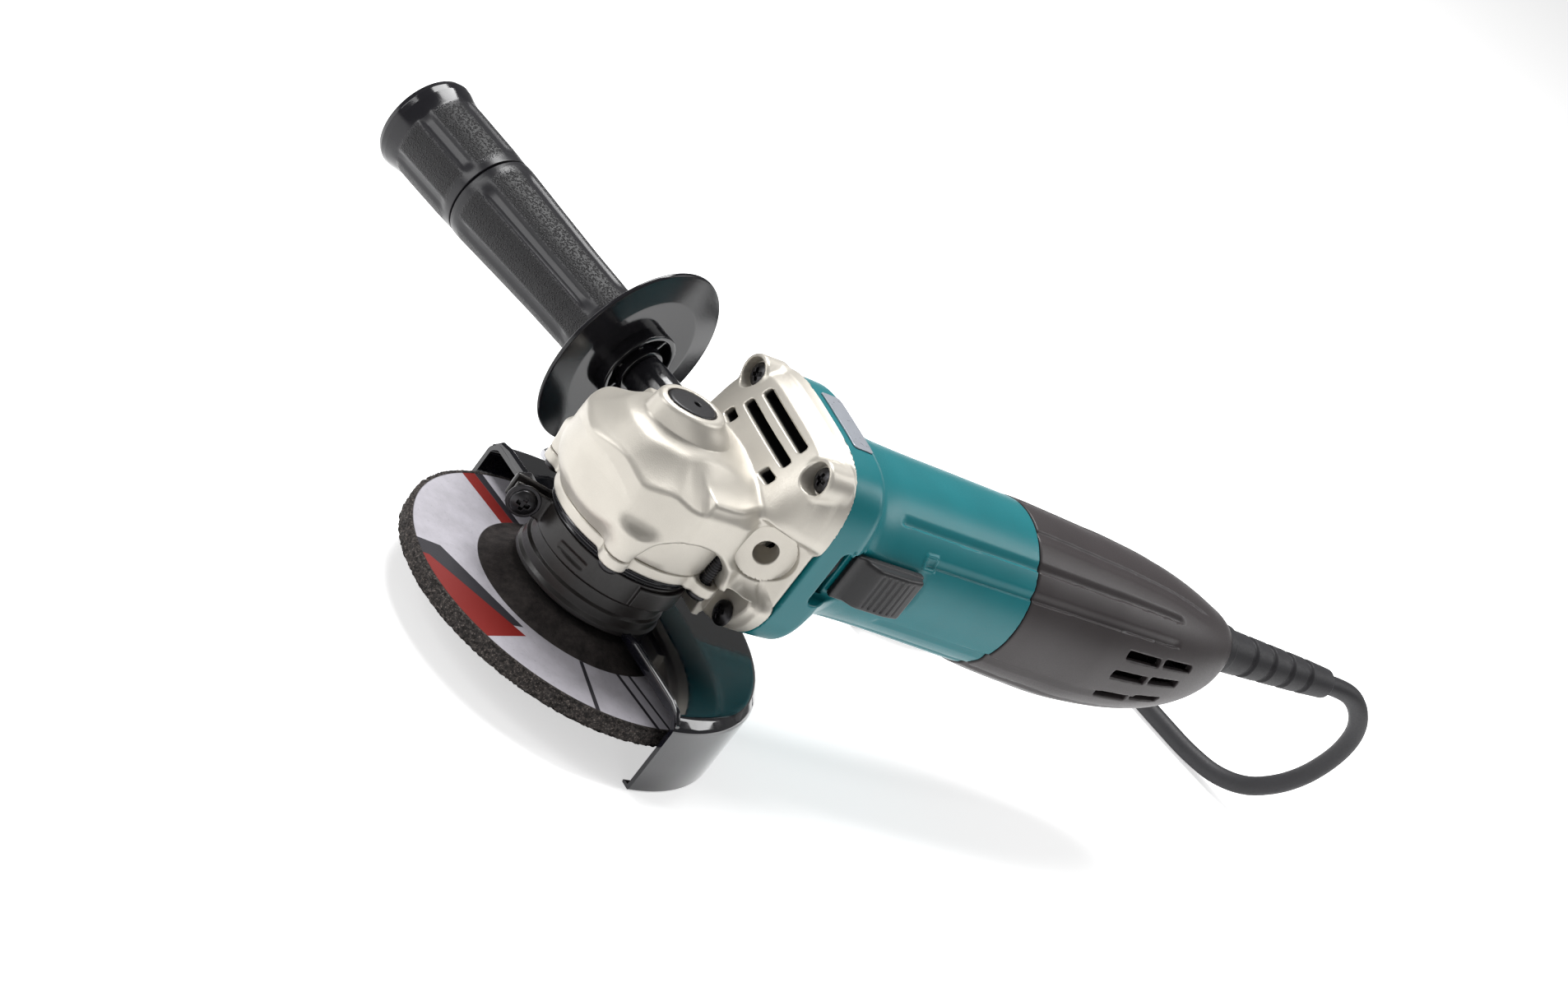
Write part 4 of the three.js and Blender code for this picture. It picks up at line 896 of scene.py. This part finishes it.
def grip_hub(x, y, z):
    """The ribbed hollow hub on the tool side of the grip's hand guard."""
    a, b, s = grip_local(x, y, z, 1)
    around = hypot(a, b)
    hub = meet(np.abs(around - 12.9) - 0.9, np.abs(s - 35.8) - 2.8, 0.6)
    hub = join(hub, meet(np.abs(around - 6.3) - 1.75, np.abs(s - 35.2) - 3.2, 0.5), 0.4)
    for turn in (0, 60, 120):
        c, q = math.cos(math.radians(turn)), math.sin(math.radians(turn))
        rib = meet(np.abs(a * q - b * c) - 0.6, meet(around - 12.6, np.abs(s - 36.8) - 1.8))
        hub = join(hub, meet(rib, 6 - around), 0.9)
    return meet(hub, 4.5 - around)


shell("grip_hub", grip_hub, (-2, 40, 54), (34, 74, 85), 0.4, gloss_plastic, "side_grip")
lathe("grip_stem_sleeve", [(4.15, 0.3), (7.6, 0.3), (7.6, 3.4), (6.8, 4.4), (6.8, 31.4), (6.2, 32),
                           (4.15, 32)], 0.4, 72, gloss_plastic, "grip_stem", on_grip)

# ---- grinding wheel and its nut
HUB_TOP = float(mm_box("grinding_wheel")[1][2])
rng = np.random.default_rng(11)
WHEEL = [(11.1, HUB_TOP - 6, 0.3), (20.6, HUB_TOP - 6, 2), (28.5, WHEEL_Z0, 3), (WHEEL_R, WHEEL_Z0, 0.5),
         (WHEEL_R, WHEEL_Z1, 0.6),
         (33.4, WHEEL_Z1, 0.7), (31.4, WHEEL_Z1 + 0.5, 2), (24.6, HUB_TOP - 0.1, 3), (11.1, HUB_TOP, 0.3)]
verts, faces = turned(finer(rounded(WHEEL, 0.4), 0.75), 480)
around, grit = np.hypot(verts[:, 0], verts[:, 1]), rng.normal(0, 1, len(verts))
edge = step(around, WHEEL_R - 1.2, WHEEL_R - 0.2)
verts = verts * (1 - np.clip(grit, -1.5, 2.5)[:, None] * edge[:, None] * np.array([0.0045, 0.0045, 0]))
under = (verts[:, 2] < WHEEL_Z0 + 0.2) & (around > 27)
verts[under, 2] += np.clip(grit[under], -1, 2) * 0.06
new_mesh("grinding_disc", verts, faces, wheel_surface, "grinding_wheel")

lathe("backing_flange", [(7.4, 18.5), (10.8, 18.5), (10.8, 23.4), (20.6, 23.4, 0.4), (21.2, 23.9, 0.5),
                         (21.2, 26.6, 0.5), (13.6, 27.3, 0.6), (13.6, 29.2, 0.3), (7.4, 29.2)], 0.2, 128,
      dark_steel, "inner_flange")


def lock_nut(x, y, z):
    around = hypot(x, y)
    body = rod_field(x, y, z, 19, 11.4, HUB_TOP - 6.3, 0.6)
    body = cut(body, rod_field(x, y, z, 16.8, 11.0, 12.0, 0.2), 0.2)
    body = join(body, rod_field(x, y, z, 10.6, 11.4, 13, 0.3), 0.3)
    for i in range(4):
        a = math.pi * (i / 2 + 0.25)
        body = cut(body, rod_field(x - 14 * math.cos(a), y - 14 * math.sin(a), z, 2.1, 9, 14.6), 0.3)
    return meet(body, 7.3 - around)


shell("clamping_nut", lock_nut, (-20, -20, 10.5), (20, 20, 18.2), 0.4, dark_steel, "lock_nut")

# ---- guard, band and clamp
GUARD_FROM, GUARD_TO, GUARD_TOP = -84, 99, 27.5
GUARD = [(62.2, 1.1, 0.2), (62.2, 24, 2.4), (59.8, 25.9, 1.6), (23.9, 25.9, 0.2), (23.9, 27.5, 0.2),
         (60.6, 27.5, 3), (63.8, 24.4, 3), (63.8, 0.5, 0.5), (63.3, 0, 0.3), (59.9, 0, 0.4),
         (59.7, 0.8, 0.3), (61, 1.1, 0.3)]
verts, faces = turned(finer(rounded(GUARD, 0.3, 5), 5), 110, GUARD_FROM, GUARD_TO)
crisp(new_mesh("guard_shell", verts, faces, enamel, "guard"), 32)
lathe("guard_ring", [(22.4, 26), (25.1, 26), (25.1, 27.4, 0.6), (24.4, 28.6, 0.6), (24.4, 31.4),
                     (23.4, 32.1), (23.4, BAND_Z0 - 0.3), (22.4, BAND_Z0 - 0.3)], 0.3, 128, satin_black,
      "guard")


def folded_edge(degrees, side):
    """A rolled lip standing up along one straight end of the guard's roof."""
    sections = []
    for r, up in ((25.4, 0.2), (27, 1.8), (32, 2.6), (44, 2.6), (56, 2.4), (60.5, 1.4), (62.4, -0.8),
                  (63.2, -2.6)):
        a = math.radians(degrees)
        out, beside = np.array([math.cos(a), math.sin(a), 0]), np.array([-math.sin(a), math.cos(a),
                                                                         0]) * side
        centre = out * r + np.array([0, 0, GUARD_TOP - 0.8])
        ring = []
        for t in np.linspace(0, 2 * math.pi, 20, endpoint=False):
            ring.append(centre + beside * (0.85 * math.cos(t))
                        + np.array([0, 0, (up / 2 + 0.8) * math.sin(t) + up / 2]))
        sections.append(np.array(ring))
    verts, faces = grid_tube(sections)
    return verts, faces if side > 0 else [f[::-1] for f in faces]


for name, degrees, side in (("guard_lip_front", GUARD_FROM, 1), ("guard_lip_back", GUARD_TO, -1)):
    verts, faces = folded_edge(degrees + 0.9 * side, side)
    crisp(new_mesh(name, verts, faces, enamel, "guard"), 60)

EAR_ANGLE = math.radians(156)
EAR_SCREW_Z = 40.6


def guard_band(x, y, z):
    """The clamp band with its strap, slot, split and two ears for the screw."""
    around, angle = hypot(x, y), np.degrees(np.arctan2(y, x))
    band = meet(np.abs(around - 23.3) - 0.9, np.abs(z - EAR_SCREW_Z) - 4.3, 0.5)
    strap = meet(np.abs(around - 24.4) - 1.15, np.abs(z - EAR_SCREW_Z + 0.1) - 3.5, 0.6)
    strap = meet(strap, (np.abs(angle + 38) - 58) * 0.4)
    band = join(band, strap, 0.4)
    u, v = axes_at(x, y, EAR_ANGLE)
    for centre in (-2.8, 2.8):
        ear = box_field(u, v, z, 22.9, 36, centre - 0.8, centre + 0.8, BAND_Z0 + 0.4, BAND_Z1, 0.7)
        band = join(band, ear, 1.1)
    band = cut(band, box_field(u, v, z, 20, 30, -1.7, 1.7, 20, 60), 0.4)
    band = cut(band, rod_field(u - 31.5, z - EAR_SCREW_Z, v, 2.4, -8, 8), 0.3)
    p, q = axes_at(x, y, math.radians(-150))
    band = cut(band, box_field(p, q, z, 23.3, 30, -5.6, 5.6, 38.6, 41.4, 0.8), 0.5)
    return meet(band, 22.4 - around)


shell("clamp_band", guard_band, (-37, -27, BAND_Z0 - 0.8), (27, 27, BAND_Z1 + 0.8), 0.4, satin_black,
      "guard_band")


def by_ears(x, y, z):
    """Coordinates about the clamp screw: across, up, and along it."""
    u, v = axes_at(x, y, EAR_ANGLE)
    return u - 31.5, z - EAR_SCREW_Z, v


def phillips(a, b, c, radius, high, depth=1.7):
    """A pan head from c = 0 up to c = high, with a cross recess."""
    dome = np.sqrt(a * a + b * b + (c - high + radius * 1.7) ** 2) - radius * 1.7
    head = meet(rod_field(a, b, c, radius, 0, high + 1, 0.3), dome, 0.5)
    for p, q in ((a, b), (b, a)):
        wide, narrow = radius * 0.56 - np.maximum(high - c, 0) * 0.35, radius * 0.15
        head = cut(head, meet(meet(np.abs(p) - wide, np.abs(q) - narrow), high - depth - c), 0.15)
    return head


def clamp_screw(x, y, z):
    a, b, c = by_ears(x, y, z)
    ribs = 0.12 * np.cos(2 * math.pi * c / 0.8) * (c < 3)
    shank = meet(hypot(a, b) - 2.0 + ribs, meet(-10 - c, c - 5))
    head = join(phillips(a, -b, c - 3.9, 4.1, 3.0), rod_field(a, b, c, 5.4, 3.7, 4.6, 0.3), 0.3)
    return join(shank, head)


def clamp_nut(x, y, z):
    a, b, c = by_ears(x, y, z)
    sides = [np.abs(a * math.cos(t) + b * math.sin(t)) - 3.6 for t in (0, math.pi / 3, 2 * math.pi / 3)]
    body = meet(meet(meet(*sides[:2]), sides[2]), np.abs(c + 5.7) - 1.8, 0.5)
    return meet(cut(body, hypot(a, b) - 2.2, 0.3), hypot(a, b) - 4.05)


shell("band_clamp_screw", clamp_screw, (-37, 0, 34.8), (-20, 25, 46.6), 0.3, dark_steel, "clamp_screw")
shell("band_clamp_nut", clamp_nut, (-37, 0, 35.8), (-20, 25, 45.6), 0.3, dark_steel, "clamp_nut")

# ---- bearing box and screws


def bearing_box(x, y, z):
    around = hypot(x, y)
    rim = meet(around - 26.2, np.abs(z - 50.5) - 1.9, 0.7)
    for lx, ly in LUGS:
        lug = meet(hypot(x - lx, y - ly) - 4.7, np.abs(z - 50.5) - 1.9, 0.7)
        rim = join(rim, lug, 3)
    sleeve = meet(around - 22.1, np.abs(z - 39.9) - 9.7, 0.5)
    body = join(join(rim, sleeve, 0.6), meet(around - 22.5, np.abs(z - 53) - 2.6, 0.3))
    body = cut(body, rod_field(x, y, z, 18, 34.2, 60))
    body = cut(body, rod_field(x, y, z, 9.6, 28, 40), 0.4)
    for lx, ly in LUGS:
        body = cut(body, rod_field(x - lx, y - ly, z, 2.4, 45, 55))
    return body


lathe("box_seal", [(22.2, 45.3), (24.3, 45.3), (24.8, 45.9), (24.3, 46.5), (24.3, 46.9), (25.3, 47.2),
                   (25.6, 48), (25.3, 48.5), (22.2, 48.5)], 0.25, 128, gloss_plastic, "bearing_box",
      degrees=60)
shell("bearing_box_casting", bearing_box, (-28, -29, 29.6), (28, 29, 56.2), 0.45, cast_aluminium,
      "bearing_box")


def field_of_screw(place, radius, high, length, thread):
    """A screw with its head's seat at c = 0 of the coordinates that place gives, and its point at -length."""
    def screw(x, y, z):
        a, b, c = place(x, y, z)
        around = hypot(a, b)
        shank = meet(around - thread + 0.15 * np.cos(2 * math.pi * c / 0.9), meet(-length - c, c - 0.4))
        return join(phillips(a, b, c, radius, high), shank)
    return screw


for number, (cy, cw) in enumerate(sorted(SCREWS), 1):
    turn = math.radians(20 + 31 * number)

    def corner_screw(x, y, z, cy=cy, cw=cw, turn=turn):
        return *axes_at(y - cy, z - AXIS_Z - cw, turn), SCREW_SEAT_X - x

    low = (26.2, cy - 5, AXIS_Z + cw - 5)
    high = (48.4, cy + 5, AXIS_Z + cw + 5)
    shell(f"corner_screw_{number}", field_of_screw(corner_screw, 4.1, 2.7, 18.6, 2.1), low, high, 0.3,
          dark_steel, f"housing_screw_{number}")
for number, (lx, ly) in enumerate(LUGS, 1):
    def lug_screw(x, y, z, lx=lx, ly=ly):
        return x - lx, y - ly, LUG_SEAT_Z - z

    shell(f"lug_screw_{number}", field_of_screw(lug_screw, 3.3, 2.6, 13.4, 1.75), (lx - 4, ly - 4, 45),
          (lx + 4, ly + 4, 62.2),
          0.3, dark_steel, f"box_screw_{number}")


def cover_screw(x, y, z):
    return x - FOOT_SCREW_X, y, AXIS_Z - 29.1 - z


shell("cover_screw", field_of_screw(cover_screw, 3.3, 1.8, 12, 1.2), (133.8, -4, 40), (141.8, 4, 55), 0.25,
      dark_steel, "rear_cover_screw")

# ---- button, plate, switch, cord guard, plug
BUTTON_TOP = float(mm_box("lock_button")[1][2])


def lock_button(x, y, z):
    oval = (hypot((x - BUTTON_X) / 1.37, y) - 6.25) * 0.92
    crown = z - BUTTON_TOP + 0.0035 * ((x - BUTTON_X) ** 2 + 1.6 * y * y)
    body = meet(oval, crown, 0.8)
    body = meet(body, BUTTON_TOP - 3.4 - z)
    return cut(body, rod_field(x - BUTTON_X - 1.6, y, z, 1.15, BUTTON_TOP - 1.6, BUTTON_TOP + 2), 0.4)


shell("lock_button_cap", lock_button, (-18, -7.5, 90.8), (2, 7.5, 96), 0.25, satin_plastic, "lock_button")


def name_plate(x, y, z):
    sheet = box_field(x, y, z, 41.3, 49.4, -13.4, 13.4, 0, 300, 1.2)
    above = loft_field(x, y, z, MOTOR)
    return meet(meet(sheet, above - 0.55, 0.15), -(above - 0.05), 0.05)


shell("blank_plate", name_plate, (40.6, -14.4, 103.6), (50.2, 14.4, 107.4), 0.25, plate, "name_plate")
KNOB_X0, KNOB_X1 = float(mm_box("switch_knob")[0][0]), float(mm_box("switch_knob")[1][0])


def switch_knob(x, y, z):
    w, out = z - AXIS_Z, -y
    base = box_field(x, out, w, KNOB_X0, KNOB_X1, 26.9, 29.3, -8.3, 8.3, 0.8)
    ramp = out - (27.4 + 5.4 * step(x, KNOB_X0 - 1, KNOB_X0 + 9.5) - 1.4
                  * step(x, KNOB_X1 - 9, KNOB_X1 + 2))
    upper = meet(box_field(x, out, w, KNOB_X0 + 0.6, KNOB_X1 - 0.4, 26.9, 35, -7.8, 7.8, 1.4), ramp, 1.6)
    body = join(base, upper, 0.8)
    lines = 0.35 * step(np.cos(2 * math.pi * (x - KNOB_X0) / 2.6), 0.1, 0.9) * step(x, KNOB_X0 + 9.5,
                                                                                    KNOB_X0 + 11)
    body = body + lines * step(out, 29.8, 30.6) * (1 - step(np.abs(w), 5.6, 6.8)) * (1
                                                                                     - step(x, KNOB_X1 - 5,
                                                                                            KNOB_X1 - 3.4))
    return join(body, box_field(x, out, w, 64.8, 73.4, 26.2, 28, -3.4, 3.4))


shell("slide_knob", switch_knob, (KNOB_X0 - 1, -33.6, 62), (KNOB_X1 + 1, -25.8, 81), 0.32, satin_plastic,
      "switch_knob")

CORD_AXIS_Z = 73.0
rings = []
for x in (254, 264, 274, 284):
    r = 7.8 - 2.2 * (x - 240) / 59
    rings += [(r, x), (r - 1.0, x + 0.5), (r - 1.05, x + 2.5), (r - 0.1, x + 3)]
CORD_GUARD = ([(0, 226, 0), (6, 226, 0.2), (6.6, 233, 0.2), (9.8, 233, 0.3), (9.8, 236.2, 0.3),
               (7.8, 236.2, 0.3), (7.8, 240.6, 0.2),
               (8.5, 241.4, 0.5), (8.5, 244.5, 0.6), (7.6, 245.4, 0.3)] + rings + [(5.3, 298.4, 0.5),
                                                                                   (4.7, 299.3, 0.3),
                                                                                   (0, 299.3, 0)])
verts, faces = turned(finer(rounded([p if len(p) > 2 else (*p, 0.4) for p in CORD_GUARD], 0.4), 3), 72)
crisp(new_mesh("cord_boot", along_x(verts, CORD_AXIS_Z), faces, rubber, "cord_guard"), 50)

verts, faces = swept(route, CORD_D / 2)
mains_cord = crisp(new_mesh("mains_cord", verts, faces, rubber, "power_cord", "cord_coil", "cord_tail"), 60)

# the return spring under the lock button, with closed end turns
low, high = mm_box("lock_spring")
spring_x, spring_y = (low[:2] + high[:2]) / 2
t = np.linspace(0, 1, 240)
rise = np.clip((t - 0.16) / 0.68, 0, 1)
turn = 2 * math.pi * 4.4 * t
verts, faces = swept(np.column_stack([spring_x + 3.5 * np.cos(turn), spring_y + 3.5 * np.sin(turn),
                                      low[2] + 0.65 + (high[2] - low[2] - 1.3) * (0.04 * t + 0.96
                                                                                  * rise)]), 0.55, 14)
return_spring = crisp(new_mesh("return_spring", verts, faces, steel, "lock_spring"), 60)
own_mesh(return_spring)

_, PLUG_Y, PLUG_Z = (float(v) for v in sum(mm_box("plug_body")) / 2)
PLUG_X1 = float(mm_box("plug_body")[1][0])


def plug_body(x, y, z):
    """A moulded two-pin plug with a waisted grip; its cord end faces +X."""
    u, v, w = PLUG_X1 - x, np.abs(y - PLUG_Y), z - PLUG_Z
    half = 5.6 + 12 * step(u, 8, 26)
    body = meet((v - half) * 0.85, meet(u - 36.8, -u), 1.6)
    body = meet(body, np.abs(w) - 8.3 + 1.2 * (1 - step(u, 2, 16)), 2.2)
    grooves = 0.7 * step(np.cos(2 * math.pi * (u - 9) / 2.8), 0.2, 0.9) * step(u, 8,
                                                                               9.4) * (1 - step(u, 17.6,
                                                                                                19))
    body = body + grooves * step(v + np.abs(w) * 0.4, 5, 7)
    body = cut(body, box_field(u, v, np.abs(w), 25.5, 33.5, -9, 9, 7.7, 9, 0.6), 0.5)
    for s in (-9.5, 9.5):
        body = cut(body, rod_field(y - PLUG_Y - s, w, u, 2.7, 30, 40))
    return body


mains_plug = shell("mains_plug", plug_body, (54.6, 68.4, 0), (93, 105.4, 17.8), 0.5, black_plastic,
                   "plug_body")
for number in (1, 2):
    low, high = mm_box(f"plug_pin_{number}")
    y, z = (low[1] + high[1]) / 2, (low[2] + high[2]) / 2
    verts, faces = turned(rounded([(0, low[0], 0), (1.3, low[0], 0.5), (2.4, low[0] + 1.6, 0.9),
                                   (2.4, high[0]), (0, high[0], 0)], 0.3), 40)
    pin = np.column_stack([verts[:, 2], verts[:, 1] + y, -verts[:, 0] + z])
    crisp(new_mesh(f"contact_pin_{number}", pin, faces, steel, f"plug_pin_{number}"))

# a cable tie round the coil: a flat band with a ratchet head on top
TIE_TURN = math.radians(250)


def coil_tie(x, y, z):
    u, v = axes_at(x - COIL_X, y - (COIL_FAR_Y - route_outer), TIE_TURN)
    inner = box_field(u, v, z, route_outer - 31.8, route_outer + 4, -9, 9, 0.9, 15.7, 4)
    band = meet(np.abs(inner - 0.4) - 0.45, np.abs(v) - 2.4, 0.3)
    head = box_field(u, v, z, route_outer - 18, route_outer - 12, -3.2, 3.2, 15.4, 18.6, 0.6)
    return join(band, cut(head, box_field(u, v, z, route_outer - 16.4, route_outer - 13.6, -1.6, 1.6, 17.4,
                                          20)), 0.4)


shell("cable_tie", coil_tie, (150, 52, 0), (196, 104, 19.4), 0.4, nylon, "coil_tie")

# ---- light, floor and finish
floor_mesh = bpy.data.meshes.new("floor")
floor_mesh.from_pydata([(-40, -40, 0), (40, -40, 0), (40, 40, 0), (-40, 40, 0)], [], [(0, 1, 2, 3)])
floor = put("floor", floor_mesh)
floor.location.z = cad_low[2] - 0.0002
floor_paint = Nodes("floor_paint", (0.88, 0.88, 0.88), 0.9)
floor_paint.color(floor_paint.mix(floor_paint.noise(3), (0.86, 0.86, 0.86), (0.9, 0.9, 0.9)))
floor_paint.shader.inputs["Emission Color"].default_value = (1, 1, 1, 1)
floor_paint.shader.inputs["Emission Strength"].default_value = 0.56
floor_mesh.materials.append(floor_paint.material)
floor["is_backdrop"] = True

world = bpy.data.worlds.new("studio")
world.use_nodes = True
world.node_tree.nodes["Background"].inputs["Color"].default_value = (1, 1, 1, 1)
world.node_tree.nodes["Background"].inputs["Strength"].default_value = 0.2
bpy.context.scene.world = world
bpy.context.scene.view_settings.view_transform = "Standard"


def lamp(name, place, size, watts, target=(0.06, 0, 0.06)):
    data = bpy.data.lights.new(name, "AREA")
    data.shape = "RECTANGLE"
    data.size, data.size_y = size
    data.energy = watts
    piece = put(name, data)
    piece.location = place
    piece.rotation_euler = (Vector(target) - Vector(place)).to_track_quat("-Z", "Y").to_euler()


lamp("key", (0.15, 0.6, 1.3), (0.9, 0.6), 27)
lamp("side", (-1.1, 0.4, 0.6), (0.4, 0.8), 6)
lamp("fill", (-0.5, -1.5, 0.7), (0.6, 0.6), 1.5)
lamp("rim", (1.1, -0.2, 0.9), (0.4, 0.8), 5)

bpy.context.view_layer.update()
